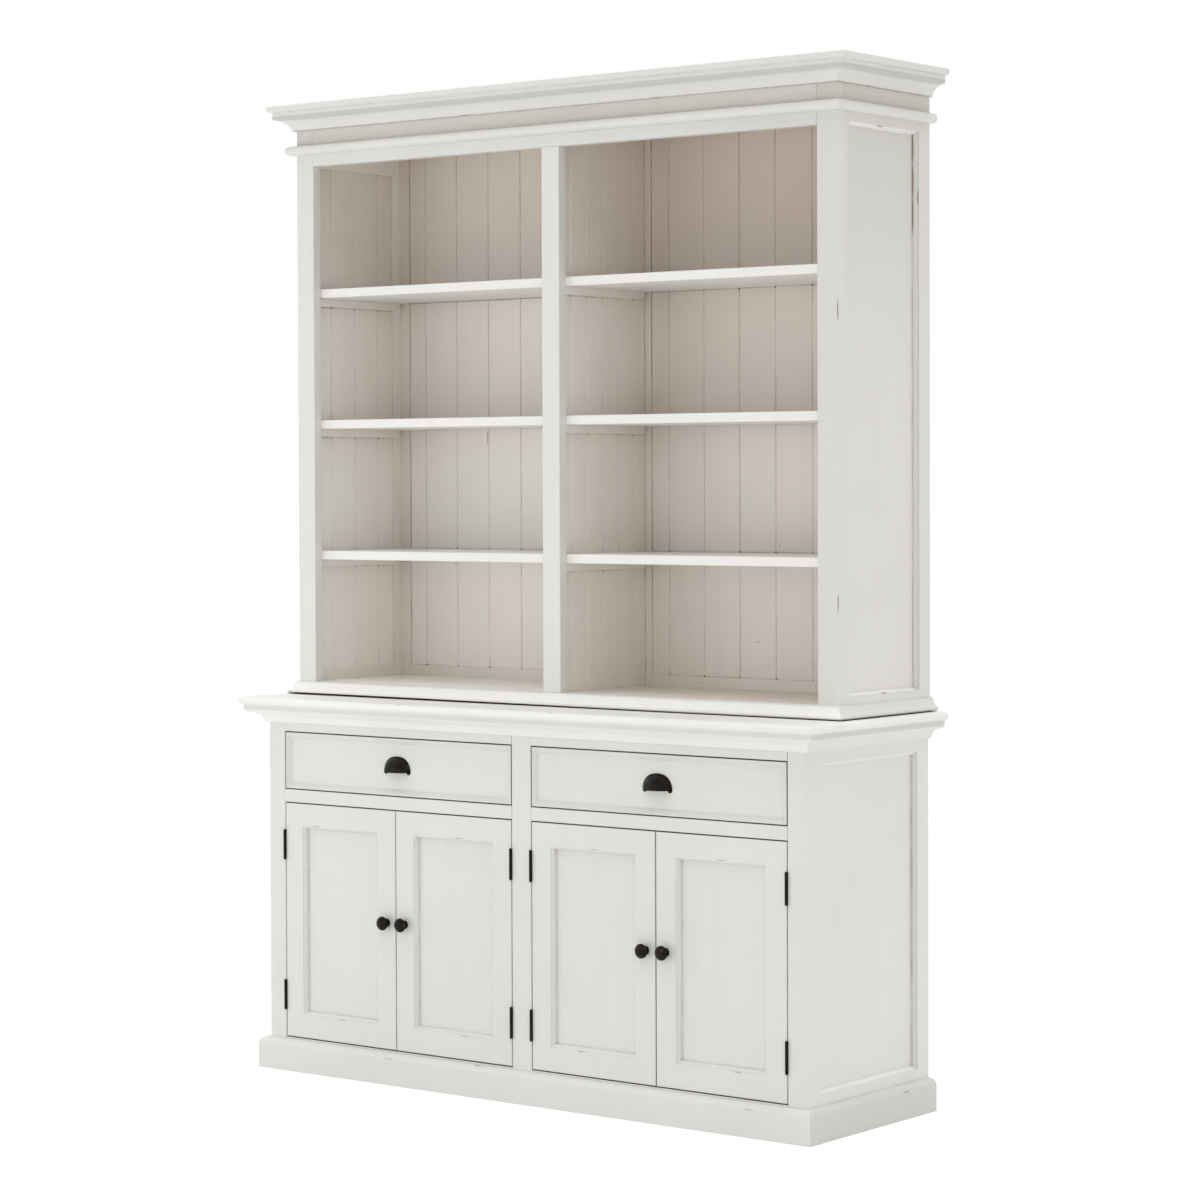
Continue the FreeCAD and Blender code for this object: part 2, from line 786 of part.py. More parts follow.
def hinge_pins():
    pins = []
    for level in hinge_levels:
        reach = hinge_length + 2 * hinge_knuckle_play
        low = level - hinge_knuckle_play
        pin = Part.makeCylinder(hinge_pin_radius, reach, Vector(hinge_x, hinge_y, low))
        foot = Part.makeCylinder(hinge_tip_radius, hinge_tip_height,
                                 Vector(hinge_x, hinge_y, low - hinge_tip_height))
        head = Part.makeCylinder(hinge_tip_radius, hinge_tip_height, Vector(hinge_x, hinge_y, low + reach))
        pins.append(pin.fuse([foot, head]))
    return pins


fixed_screws = hinge_screws(-gap + hinge_leaf_thickness, -1)
moving_screws = hinge_screws(-hinge_leaf_thickness, 1)
fixed_leaves = [leaf.cut(fixed_screws) for leaf in hinge_leaves(-gap, 0)]
moving_leaves = [leaf.cut(moving_screws) for leaf in hinge_leaves(-hinge_leaf_thickness, 1)]


# Doors, left-hung, in the same frame
knob_x = door_width - knob_edge_distance
knob_z = knob_height - door_opening_z - gap


def knob_screw():
    start = Vector(knob_x, -knob_screw_depth, knob_z)
    shank = Part.makeCylinder(knob_screw_radius, knob_screw_depth + door_thickness, start, BACK)
    head = Part.makeCylinder(knob_screw_head_radius, knob_screw_head_height,
                             Vector(knob_x, door_thickness, knob_z), BACK)
    return shank.fuse(head)


def knob():
    """A turned knob: a flat base, a waisted neck and a head with a ball-shaped dome."""
    def place(share):
        return (knob_head_radius * share[0], knob_projection * share[1])
    dome_start = place(knob_dome_share)
    rise = knob_projection - dome_start[1]
    ball_radius = (dome_start[0] ** 2 + rise ** 2) / (rise * 2)
    half_angle = math.asin(dome_start[0] / ball_radius) / 2
    dome_middle = (ball_radius * math.sin(half_angle),
                   knob_projection - ball_radius * (1 - math.cos(half_angle)))
    points = [(0, 0), (knob_base_radius, 0), (knob_base_radius, knob_base_thickness),
              ((knob_base_radius + knob_stem_radius) / 2, knob_base_thickness),
              (knob_stem_radius, knob_projection * knob_neck_share),
              (place(knob_flare_share), (knob_head_radius, knob_projection * knob_rim_share)),
              (place(knob_shoulder_share), dome_start), (dome_middle, (0, knob_projection))]
    turned = outline_face(points, RIGHT, -BACK).revolve(ORIGIN, BACK, full_turn)
    turned.translate(Vector(knob_x, 0, knob_z))
    return turned


def door_parts():
    """Frame with its panel moulding, panel, hinge leaves with the strike plate, and knob."""
    stiles = [(0, door_stile_width), (door_width - door_stile_width, door_width)]
    panel_end = panel_moulding_depth + door_panel_thickness
    frame = rebated_frame(stiles, 0, door_height, door_bottom_rail_width, door_top_rail_width,
                          door_thickness, panel_end)
    screw = knob_screw()
    frame = [eased_door_member(member) for member in frame]
    frame = [member.cut(moving_screws + [screw]) for member in frame]
    u0 = stiles[0][1]
    u1 = stiles[1][0]
    v0 = door_bottom_rail_width
    v1 = door_height - door_top_rail_width
    frame += mitred_ring(panel_moulding_shares, panel_moulding_width, panel_moulding_depth, u0, u1, v0, v1)
    panel = block(u0, u1, panel_moulding_depth, panel_end, v0, v1)
    return {"frame": frame, "panel": [panel], "knob": [knob().cut(screw), screw],
            "hinge_leaves": moving_leaves + moving_screws + [strike_plate()]}


def eased_door_member(member):
    """Break the front edges that run along the outside of the door."""
    edges = []
    for edge in member.Edges:
        centre = edge.BoundBox.Center
        outside = (near(centre.x, 0) or near(centre.x, door_width) or near(centre.z, 0)
                   or near(centre.z, door_height))
        if near(centre.y, 0) and outside:
            edges.append(edge)
    return member.makeChamfer(arris, edges)


def strike_plate():
    """The plate that meets the magnetic catch, on the back of the closing stile's top."""
    x = door_width + gap / 2 - catch_edge_distance
    half = catch_width / 2 - strike_margin
    high = stop_z - strike_margin - door_opening_z - gap
    low = high - catch_height + strike_margin * 2
    return block(x - half, x + half, door_thickness, door_thickness + strike_thickness, low, high)


# Drawers, in the frame of the drawer front: its lower left front corner is the origin
box_x0 = drawer_side_inset - gap
box_x1 = drawer_width - box_x0
box_z0 = runner_play - gap
box_y0 = drawer_front_thickness
box_y1 = box_y0 + drawer_length


pull_ear_x = pull_width / 2 + pull_flange_width - pull_ear_radius


def drawer_pull_screws():
    screws = []
    for side in (-1, 1):
        x = side * pull_ear_x
        face_y = -pull_flange_thickness
        shank = Part.makeCylinder(pull_screw_radius, pull_screw_length, Vector(x, face_y, 0), BACK)
        head = Part.makeCylinder(pull_screw_head_radius, pull_screw_head_height, Vector(x, face_y, 0), -BACK)
        screws.append(shank.fuse(head))
    return screws


def pull_arch(half_width, height, lift):
    """Outline of an arch, from its share points, whose heights are measured from an axis that far behind."""
    def place(share):
        return (half_width * share[0], math.hypot(height * share[1], lift))
    start = place(pull_arch_shares[0])
    return [start] + [(place(middle), place(end)) for middle, end in pull_arch_shares[1:]]


def pull_shell(half_width, height):
    """A spindle turned about a level axis behind the drawer face."""
    points = [(-half_width, 0)] + pull_arch(half_width, height, pull_axis_depth) + [(half_width, 0)]
    spindle = outline_face(points, RIGHT, UP).revolve(ORIGIN, RIGHT, full_turn)
    spindle.translate(Vector(0, pull_axis_depth, 0))
    return spindle


def drawer_pull(screws):
    """A cup pull: a half dome with a flat rim and an ear at each end, open below."""
    half_width = pull_width / 2
    reach = pull_height + overrun
    front = block(-half_width, half_width, -reach, 0, 0, reach)
    dome = pull_shell(half_width, pull_height).common(front)
    rim_points = pull_arch(half_width + pull_flange_width, pull_height + pull_flange_width, 0)
    rim = outline_face(rim_points, RIGHT, UP).extrude(Vector(0, -pull_flange_thickness, 0))
    cavity = pull_shell(half_width - pull_wall, pull_height - pull_wall)
    cavity = cavity.common(block(-half_width, half_width, -reach, overrun, -overrun, reach))
    cup = dome.fuse(rim).cut(cavity)
    for side in (-1, 1):
        cup = cup.fuse(Part.makeCylinder(pull_ear_radius, pull_flange_thickness,
                                         Vector(side * pull_ear_x, 0, 0), -BACK))
    return cup.cut(screws)


def grooved(solid):
    """Cut the groove that takes the drawer's bottom board."""
    reach = drawer_groove_depth + drawer_groove_play
    low = box_z0 + drawer_bottom_lift - drawer_groove_play
    high = low + drawer_bottom_thickness + drawer_groove_play * 2
    x0 = box_x0 + drawer_side_thickness - reach
    x1 = box_x1 - drawer_side_thickness + reach
    y0 = box_y0 + drawer_inner_thickness - reach
    y1 = box_y1 - drawer_inner_thickness + reach
    return solid.cut(block(x0, x1, y0, y1, low, high))


def drawer_box():
    x2 = box_x0 + drawer_side_thickness
    x3 = box_x1 - drawer_side_thickness
    top = box_z0 + drawer_side_height
    boards = [block(box_x0, x2, box_y0, box_y1, box_z0, top), block(x3, box_x1, box_y0, box_y1, box_z0, top),
              block(x2, x3, box_y0, box_y0 + drawer_inner_thickness, box_z0, top),
              block(x2, x3, box_y1 - drawer_inner_thickness, box_y1, box_z0, top)]
    low = box_z0 + drawer_bottom_lift
    bottom = block(x2 - drawer_groove_depth, x3 + drawer_groove_depth,
                   box_y0 + drawer_inner_thickness - drawer_groove_depth,
                   box_y1 - drawer_inner_thickness + drawer_groove_depth, low, low + drawer_bottom_thickness)
    return [grooved(solid) for solid in boards] + [bottom]


def drawer_parts():
    """Front with its moulded border, box, and cup pull with its two screws."""
    field = block(0, drawer_width, drawer_border_depth, drawer_front_thickness, 0, drawer_height)
    border = mitred_ring(drawer_border_shares, drawer_border_width, drawer_border_depth,
                         0, drawer_width, 0, drawer_height)
    place = (drawer_width / 2, drawer_border_depth, drawer_height / 2 - pull_drop)
    screws = drawer_pull_screws()
    pull = moved([drawer_pull(screws)] + screws, *place)
    return {"front": [field.cut(pull[1:])] + border, "box": drawer_box(), "pull": pull}


# Assembly: each node is one file of one or more solids
nodes = {}
screws = joining_screws()
nodes["base_right_side_frame"] = base_side_frame()
nodes["base_left_side_frame"] = mirrored(nodes["base_right_side_frame"])
right_panel = base_side_panel()
nodes["base_side_panels"] = right_panel + mirrored(right_panel)
right_strips = side_moulding(base_side_stiles, base_panel_levels, half_base)
nodes["base_side_mouldings"] = right_strips + mirrored(right_strips)
nodes["base_back_frame"] = back_frame(base_wall_x, 0, base_top_z, base_back_bottom_rail_width,
                                      base_back_top_rail_width)
nodes["base_back_boards"] = back_boards(base_wall_x, base_back_bottom_rail_width,
                                        base_top_z - base_back_top_rail_width)
nodes["base_partition"] = base_partition()
nodes["base_floor"] = base_floor()
nodes["base_shelves"] = base_shelves()
nodes["base_shelf_cleats"] = base_cleats()
nodes["drawer_runners"] = drawer_runners()
nodes["door_stops"] = door_stops()
nodes["door_catches"] = catches()
nodes["plinth"] = plinth()
nodes["table_top"] = table_top(screws)
nodes["table_moulding"] = table_moulding()
nodes["joining_screws"] = screws

nodes["hutch_moulding"] = hutch_moulding()
nodes["hutch_floor"] = hutch_floor(screws)
nodes["hutch_right_side_frame"] = hutch_side_frame()
nodes["hutch_left_side_frame"] = mirrored(nodes["hutch_right_side_frame"])
right_boards = hutch_side_boards()
nodes["hutch_side_boards"] = right_boards + mirrored(right_boards)
right_strips = side_moulding(hutch_side_stiles, hutch_panel_levels, half_hutch)
nodes["hutch_side_mouldings"] = right_strips + mirrored(right_strips)
nodes["hutch_face_frame"] = hutch_face_frame()
nodes["hutch_back_frame"] = back_frame(hutch_wall_x, table_z, cap_z, hutch_back_bottom_rail_width,
                                       hutch_back_top_rail_width)
nodes["hutch_back_boards"] = back_boards(hutch_wall_x, table_z + hutch_back_bottom_rail_width,
                                         cap_z - hutch_back_top_rail_width)
nodes["hutch_partition"] = hutch_partition()
nodes["hutch_shelves"] = hutch_shelves()
nodes["hutch_shelf_cleats"] = hutch_cleats()
nodes["hutch_ceiling"] = hutch_ceiling()
nodes["frieze"] = frieze()
nodes["astragal"] = astragal()
nodes["crown_moulding"] = crown()
nodes["cap_board"] = cap()

# The left-hung doors are 1 and 3. Door 4 mirrors door 1, and door 2 mirrors door 3.
door = door_parts()
outer_place = (gap - base_opening_outer_x, front_y, door_opening_z + gap)
inner_place = (gap + base_opening_inner_x, front_y, door_opening_z + gap)
for part_name, solids in door.items():
    nodes["door_1_" + part_name] = moved(solids, *outer_place)
    nodes["door_3_" + part_name] = moved(solids, *inner_place)
    nodes["door_2_" + part_name] = mirrored(nodes["door_3_" + part_name])
    nodes["door_4_" + part_name] = mirrored(nodes["door_1_" + part_name])


def on_every_door(solids):
    left_hung = moved(solids, *outer_place) + moved(solids, *inner_place)
    return left_hung + mirrored(left_hung)


nodes["hinge_pins"] = on_every_door(hinge_pins())
nodes["hinge_fixed_leaves"] = on_every_door(fixed_leaves + fixed_screws)
nodes["base_face_frame"] = [member.cut(on_every_door(fixed_screws)) for member in base_face_frame()]

drawer_place = (base_opening_inner_x + gap, front_y, drawer_opening_z + gap)
for part_name, solids in drawer_parts().items():
    nodes["drawer_2_" + part_name] = moved(solids, *drawer_place)
    nodes["drawer_1_" + part_name] = mirrored(nodes["drawer_2_" + part_name])

os.makedirs("parts", exist_ok=True)
for node, solids in nodes.items():
    flat = [solid for shape in solids for solid in shape.Solids]
    Part.makeCompound(flat).exportStep(os.path.join("parts", node + ".step"))
print(len(nodes), "nodes")
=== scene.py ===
import functools
import math

import bpy
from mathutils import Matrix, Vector

# A white painted hutch bookcase. Metres, +Z up, X to the right and Y to the back.

# Camera, at the photograph's viewing angle
CAMERA_PLACE = (4.481, -5.621, 1.335)
CAMERA_TURN = 37.562
CAMERA_TILT = -1.385
CAMERA_ROLL = -0.182
FOCAL_PIXELS = 3278.0
PHOTO_PIXELS = 1200
OPTICAL_CENTRE = (635.47, 561.33)
SENSOR_WIDTH = 36.0

# Lights and floor
SKY_LEVEL = 0.566
SKY_ZENITH = 1.457
LAMP_SIZE = 3.0
LAMPS = {
    "left lamp": ((-2.3, -3.0, 0.4), (0.0, 0.0, 0.9), 23.5),
    "right lamp": ((3.6, -4.4, 0.7), (0.0, 0.0, 0.9), 13.2),
}
FLOOR_SIZE = 60.0
FLOOR_COLOUR = (0.90, 0.90, 0.90)
FLOOR_SPECK_SCALE = 6.0
FLOOR_SPECK_TONE = 0.99
FLOOR_SHADOW = 0.06
FLOOR_GLOW = 1.04
PURE_WHITE = (1.0, 1.0, 1.0)

# Edges of the joinery, eased as by a light sanding
ARRIS = 0.0007
WELD = 0.00001
FLAT_ANGLE = 0.01
ARRIS_ANGLE = 0.6

# The width over which one paint gives way to the next
EDGE = 0.0004

# Half widths and front faces of the base and of the hutch, and their corners as the sum of x and y
BASE_HALF_WIDTH = 0.745
BASE_FRONT = -0.201
BASE_CORNER = BASE_HALF_WIDTH + BASE_FRONT
HUTCH_HALF_WIDTH = 0.750
HUTCH_FRONT = -0.095
HUTCH_CORNER = HUTCH_HALF_WIDTH + HUTCH_FRONT

# Bays of the face frames: how far their middles are from the bookcase's own, and their half widths
BAY_MIDDLE = 0.36175
BASE_BAY_HALF = 0.3353
HUTCH_BAY_MIDDLE = 0.3615
HUTCH_BAY_HALF = 0.3374

# Rails of the doors and of the side frames, which lie between their stiles
DOOR_RAIL_HALF = 0.1136
BASE_SIDE_MIDDLE = 0.027
BASE_SIDE_RAIL_HALF = 0.1814
HUTCH_SIDE_MIDDLE = 0.0775
HUTCH_SIDE_RAIL_HALF = 0.1319

# Widths of the boards, and where their first joint is
BACK_BOARD = 0.097
BACK_FIRST_JOINT = 0.075
BACK_FACE = 0.2315
BACK_BAY_MIDDLE = 0.360
BACK_BAY_HALF = 0.3330
LEFT_BAY_SHIFT = 0.056
SIDE_BOARD = 0.080
SIDE_FIRST_JOINT = -0.0085
PARTITION_BOARD = 0.056
PARTITION_FIRST_JOINT = -0.0365

# Within the thickness of a side panel, of a side frame and of the back's boards
IN_SIDE_PANEL = (0.734, 0.735)
IN_SIDE_FRAME = (0.7224, 0.7228)
IN_BACK = (BACK_FACE + 0.003, BACK_FACE + 0.004)

# Levels of the shelves, and the part of a compartment's height that is dirtier over its shelf
SHELF_MIDDLE = 1.1691
SHELF_SPACING = 0.30065
OVER_SHELF = (0.05, 0.30)

# Where the boards seem to end: on the rail, on a shelf and under one, and under the cleats
UPPER_BOARD_END = 1.7596
BACK_BOARD_ENDS = [0.9033, 1.1799, UPPER_BOARD_END]
CLEAT_ENDS = [1.1403, 1.4410, 1.7416]

# Where the paint and its painted light and shade change: the levels or places at which each change
# begins and ends
LOWEST_BAYS = (0.95, 1.30)
LOW_BAYS = (1.30, 1.60)
HIGH_BAYS = (1.35, 1.60)
HOLED_BAYS = (1.50, 1.60)
TOP_BAYS = (1.76, 1.91)
UPPER_SIDES = (1.45, 2.10)
RIGHT_BAY = (0.02, 0.05)
RIGHT_OF_FRAME = (0.10, 0.72)
FLOOR_FRONT = (HUTCH_FRONT + 0.02, HUTCH_FRONT + 0.09)

# The rear upright strips of the side panels: their edges, where they begin, and their least painted
# shade
STRIP_INSIDE = 0.2015
STRIP_OUTSIDE = 0.2090
STRIP_START = (0.19, 0.20)
LEAST_STRIP = 0.72

# Painted shade on the frieze between the astragal and the crown, lighter upwards and on the sides
FRIEZE_MIDDLE = 2.1265
FRIEZE_HALF = 0.0170
FRIEZE_MOST_SHADE = 0.86
LIGHTER_UP = 0.46
LIGHTER_ON_SIDE = 0.20

# Painted shadow in the seam on which the hutch stands, which gets thinner to the right
HUTCH_FOOT_X = 0.7712
HUTCH_FOOT_Y = -0.1162
SEAM_LOW = 0.8485
SEAM_TOP = 0.8533
SEAM_RUN = (-0.6, 0.5)
SEAM_THINNING = 0.0028
SEAM_RAGGED = 0.0010

# Bands and lines of painted shade on the mouldings, the line of dirt at the crown's foot, and where
# the painted light on the hutch's foot ends
CROWN_HOLLOW = 2.1720
CROWN_FOOT = 2.1440
TABLE_HOLLOW = 0.8245
FOOT_LINES = (0.8860, 0.8770)
FOOT_LOW = (0.8730, 0.8770)

# Lines of dirt and shade: their half width, and how far out they have faded away
FINE_LINE = (0.0003, 0.0012)
FRAME_LINE = (0.0009, 0.0024)
BOARD_END_LINE = (0.0008, 0.0020)
SHELF_LINE = (0.0006, 0.0016)
FOOT_LINE = (0.0006, 0.0020)
DUST_LINE = (0.0009, 0.0017)
MEETING_LINE = (0.0010, 0.0018)
HOLLOW_LINE = (0.0032, 0.0070)
HOLE_WIDTH = (0.0014, 0.0028)
HOLE_HEIGHT = (0.0018, 0.0034)
SLOT_LINE = (0.00025, 0.00045)
RIM_LINE = (0.00015, 0.0004)
JOINT_LINE = (0.00015, 0.00045)

# Doors and drawers
DOOR_MIDDLE = 0.167
DOOR_CENTRE = 0.3415
DOOR_HALF_HEIGHT = 0.2660
DRAWER_CENTRE = 0.705
DRAWER_HALF_WIDTH = 0.33275
DRAWER_HALF_HEIGHT = 0.0635
PULL_SCREW = 0.033
PULL_SCREW_HEIGHT = 0.6935
SCREW_HEAD = 0.0028
SLOT_SLOPE = 0.6
DRAWER_SIDE_INSIDE = 0.3170
DRAWER_SIDE_OUTSIDE = 0.3290
DRAWER_BOX_MIDDLE = 0.0115
DRAWER_BOX_HALF = 0.1925
DOVETAIL_START = 0.6633
DOVETAIL_PITCH = 0.024
DOVETAIL_NECK = 0.0065
DOVETAIL_LENGTH = 0.0120
DOVETAIL_SLOPE = 0.2

# Colours
WHITE = (0.80, 0.792, 0.752)
# Painted light: a lighter copy of WHITE for the shelves, the side mouldings and the floors' fronts
SHELF_WHITE_PAINTED_LIGHT = (0.91, 0.90, 0.86)
# Painted light on the lower front of the hutch's moulding
FOOT_PAINTED_LIGHT = (0.99, 0.98, 0.95)
# Painted light: lighter copies of WHITE for the mouldings of the table and the hutch, and for the
# table's top
TABLE_WHITE_PAINTED_LIGHT = (0.92, 0.913, 0.878)
TABLE_TOP_PAINTED_LIGHT = (0.95, 0.945, 0.912)
# Painted light: a lighter copy of WHITE for the base's sides
SIDE_WHITE_PAINTED_LIGHT = (0.853, 0.844, 0.801)
SIDE_BOARD_WHITE = (0.822, 0.80, 0.758)
INSIDE = (0.91, 0.862, 0.802)
# Painted light in the lowest compartments on the left
INSIDE_PAINTED_LIGHT = (1.0, 0.965, 0.915)
WORN_WOOD = (0.27, 0.175, 0.115)
JOINT_DIRT = (0.25, 0.165, 0.115)
# Painted shade in the inner corners and in the higher and right-hand compartments
CORNER_SHADE_TONE = (0.60, 0.475, 0.405)
# Painted shade on the frieze
FRIEZE_SHADE_TONE = (0.62, 0.575, 0.52)
# Painted shade towards the top of the hutch's sides
SIDE_SHADE_TONE = (0.79, 0.740, 0.69)
SIDE_BOARD_SHADE_TONE = (0.71, 0.70, 0.645)
SHADED_TONE = (0.70, 0.69, 0.65)
# Painted shade on the rear strips of the side panels
STRIP_SHADE_TONE = (0.66, 0.65, 0.62)
# Painted shade in the hollows of the mouldings
HOLLOW_SHADE_TONE = (0.60, 0.595, 0.555)
ARRIS_TONE = (0.42, 0.37, 0.32)
# Painted shade in the gaps round the doors and drawers
GAP_SHADE_COLOUR = (0.14, 0.075, 0.045)
# Painted shadow in the seam under the hutch, also the dark of the nail heads
SEAM_SHADOW_AND_NAIL_DARK = (0.050, 0.014, 0.007)
HOLE_DARK = (0.060, 0.035, 0.025)
BRONZE = (0.0070, 0.0050, 0.0045)
BRONZE_RUBBED = (0.17, 0.085, 0.05)
STEEL = (0.0050, 0.0045, 0.0045)
BLACK = (0.0, 0.0, 0.0)
PINE = (0.60, 0.43, 0.26)
PINE_GRAIN = (0.40, 0.25, 0.13)

# The paint from its darkest to its lightest stroke, and what makes up its tone and its gloss
DARKER_PAINT = 0.945
LIGHTER_PAINT = 1.03
BRISTLE_TONE = 0.30
GRAIN_TONE = 0.30
DRIFT_TONE = 0.80
BRISTLE_GLOSS = 0.12
DRIFT_GLOSS = 0.10

# Sizes of the marks in the paint, as noise scales
GRAIN_SCALE = 0.22
DRIFT_SCALE = 3.0
GRIME_SCALE = 26.0
SWELL_SCALE = 22.0
RUB_SCALE = 420.0
SEAM_SCALE = 60.0

# Relief of the brush marks and of the swells under them
BRUSH_RELIEF = 0.00006
SWELL_RELIEF = 0.0003

# How far dirt reaches out of a crevice, and how narrow that is where the dirt begins and is full
GRIME_REACH = 0.0035
GRIME_DEPTH = (0.32, 0.66)
GRIME_PATCHES = (0.40, 0.62)

# The same for the painted shade of the inner corners and for the painted shade in the gaps round the
# doors and drawers
CORNER_REACH = 0.14
CORNER_DEPTH = (0.30, 0.95)
GAP_REACH = 0.010
GAP_DEPTH = (0.50, 0.80)

# How much of the corners' painted shade there is in the lowest compartments
LOW_CORNER_SHARE = 0.28

# Patches of dirt: how often they change along each axis, per metre
BOARD_PATCHES = (9.0, 9.0, 5.0)
HOLE_PATCHES = (13.0, 13.0, 7.0)
STRIP_PATCHES = (2.0, 30.0, 9.0)

# Levels of the noise at which the patches begin and are full, and the share of dirt between them
JOINT_LIMITS = (0.42, 0.68)
FRAME_LIMITS = (0.36, 0.60)
HOLE_LIMITS = (0.38, 0.58)
STRIP_LIMITS = (0.36, 0.62)
LEAST_DIRT = 0.35

# Dirt in the crevices: the least, and what the patches add
OUTSIDE_DIRT = (0.22, 0.48)
MOULDING_DIRT = (0.08, 0.24)
INSIDE_DIRT = (0.0, 0.32)

# How much rougher the paint is where wear, dirt, painted light or painted shade lies on it
MARK_MATTE = 0.5

# Hammered metal: its dents, the clouds in its skin and its gloss
DENT_SCALE = 330.0
CLOUD_SCALE = 75.0
RUBBED_BACK = (0.50, 0.80)
METAL_ROUGHNESS = 0.34
CLOUD_GLOSS = 0.40
METAL_SHINE = 0.14

# Bare wood: its rings and its fibres
RING_STRETCH = (0.12, 0.12, 0.12)
RING_COUNT = 40.0
RING_TONE = 0.7
FIBRE_SCALE = 2.0
FIBRE_TONE = 0.4
FIBRE_RELIEF = 0.00008
FIBRE_GLOSS = 0.1
GRAIN_LIMITS = (0.2, 1.0)
PINE_ROUGHNESS = 0.62

# Dovetails: the pins' end grain, at its least and what the speckle adds, and the lines round it
SPECKLE_SCALE = 900.0
PIN_TONE = (0.45, 0.35)
JOINT_TONE = 0.8

# Edge of a worn spot, as a share of its half sizes, and how ragged it is
SPOT_EDGE = (0.7, 1.15)
RUB_RAGGED = 1.5

# Where the paint is worn through: the middle of each dash and its half sizes
DASH = (0.013, 0.004, 0.0009)
DOOR_RUBS = [
    ((x, -0.1995, z), DASH)
    for x, z in [
        (-0.6015, 0.5590), (-0.1789, 0.5590), (0.1992, 0.5590), (0.5309, 0.5590),
        (-0.5241, 0.1270), (-0.1617, 0.1270), (0.1621, 0.1270), (0.5720, 0.1270),
    ]
]
PLINTH_RUBS = [
    ((-0.3675, -0.2200, 0.0590), DASH), ((-0.1161, -0.2120, 0.0690), DASH),
    ((0.6143, -0.2200, 0.0580), DASH), ((0.7645, 0.1361, 0.0580), (0.003, 0.012, 0.0014)),
]
CROWN_RUBS = [
    ((0.2979, -0.1030, 2.1445), (0.016, 0.004, 0.0012)),
    ((0.7580, 0.0093, 2.1445), (0.004, 0.010, 0.0012)),
    ((-0.2300, -0.1030, 2.1445), (0.020, 0.004, 0.0012)),
]
TABLE_RUBS = [
    ((-0.3104, -0.2505, 0.8480), (0.014, 0.004, 0.0014)),
    ((0.1200, -0.2505, 0.8475), DASH),
]
SIDE_RUBS = [
    ((0.7380, 0.2020, 2.0350), (0.0030, 0.0035, 0.036)),
    ((0.7380, 0.2020, 1.9650), (0.0030, 0.0035, 0.042)),
    ((0.7380, 0.2020, 1.8950), (0.0028, 0.0035, 0.040)),
    ((0.7480, 0.2085, 1.9300), (0.0030, 0.0020, 0.020)),
    ((0.7480, 0.0614, 2.0670), (0.0030, 0.0120, 0.0012)),
    ((0.7480, 0.0754, 0.8960), (0.0030, 0.0120, 0.0012)),
]
HUTCH_CORNER_RUBS = [
    ((0.7495, -0.0945, 1.6825), (0.0015, 0.0015, 0.022)),
    ((0.7495, -0.0945, 1.0870), (0.0015, 0.0015, 0.019)),
]
BACK_SPECKS = [
    ((x, BACK_FACE, z), (half_width, 0.002, half_height))
    for x, z, half_width, half_height in [
        (-0.4550, 1.4400, 0.0012, 0.0180), (-0.5529, 1.1453, 0.0020, 0.0030),
        (0.0750, 1.1050, 0.0012, 0.0280), (0.3180, 0.9840, 0.0025, 0.0025),
        (0.0286, 2.0850, 0.0010, 0.0160), (0.0286, 2.0520, 0.0009, 0.0140),
        (0.3750, 1.1950, 0.0020, 0.0020),
    ]
]
SIDE_NAILS = [
    ((0.7245, 0.1542, 2.0622), (0.002, 0.003, 0.003)),
    ((0.7245, -0.0089, 1.7408), (0.002, 0.003, 0.003)),
]

# Brush strokes: how often they change along each axis, per metre
STROKES = {
    "upright": (260.0, 260.0, 4.0),
    "level": (4.0, 4.0, 260.0),
    "along": (4.0, 260.0, 260.0),
    "inward": (260.0, 4.0, 260.0),
}


# Shader arithmetic
class Field:
    """A shader socket that takes part in Python sums, one Math node for each step."""

    def __init__(self, finish, socket):
        self.finish = finish
        self.socket = socket

    def step(self, operation, *values):
        return self.finish.node("Math", {"operation": operation}, dict(enumerate(values)))

    def __add__(self, other):
        return self.step("ADD", self, other)

    def __sub__(self, other):
        return self.step("SUBTRACT", self, other)

    def __mul__(self, other):
        return self.step("MULTIPLY", self, other)

    def __truediv__(self, other):
        return self.step("DIVIDE", self, other)

    def __rsub__(self, other):
        return self.step("SUBTRACT", other, self)

    __radd__ = __add__
    __rmul__ = __mul__

    def size(self):
        return self.step("ABSOLUTE", self)

    def largest(self, other):
        return self.step("MAXIMUM", self, other)

    def above(self, low, high):
        """0 under low, 1 over high, and smooth in between."""
        inputs = {"Value": self, "From Min": low, "From Max": high}
        return self.finish.node("MapRange", {"interpolation_type": "SMOOTHSTEP"}, inputs)

    def under(self, low, high):
        """1 under low, 0 over high, and smooth in between."""
        return 1 - self.above(low, high)

    def from_least(self, least):
        """The same, running from least to 1 where it ran from 0 to 1."""
        return least + (1 - least) * self

    def line(self, middle, widths):
        """1 along a line at middle; widths are its half width and where it has faded away."""
        return (self - middle).size().under(*widths)

    def lines(self, middles, widths):
        return functools.reduce(Field.largest, [self.line(middle, widths) for middle in middles])

    def to_line(self, start, spacing):
        """Distance to the nearest of evenly spaced lines, one of which is at start."""
        return self.step("PINGPONG", self - start, spacing / 2)


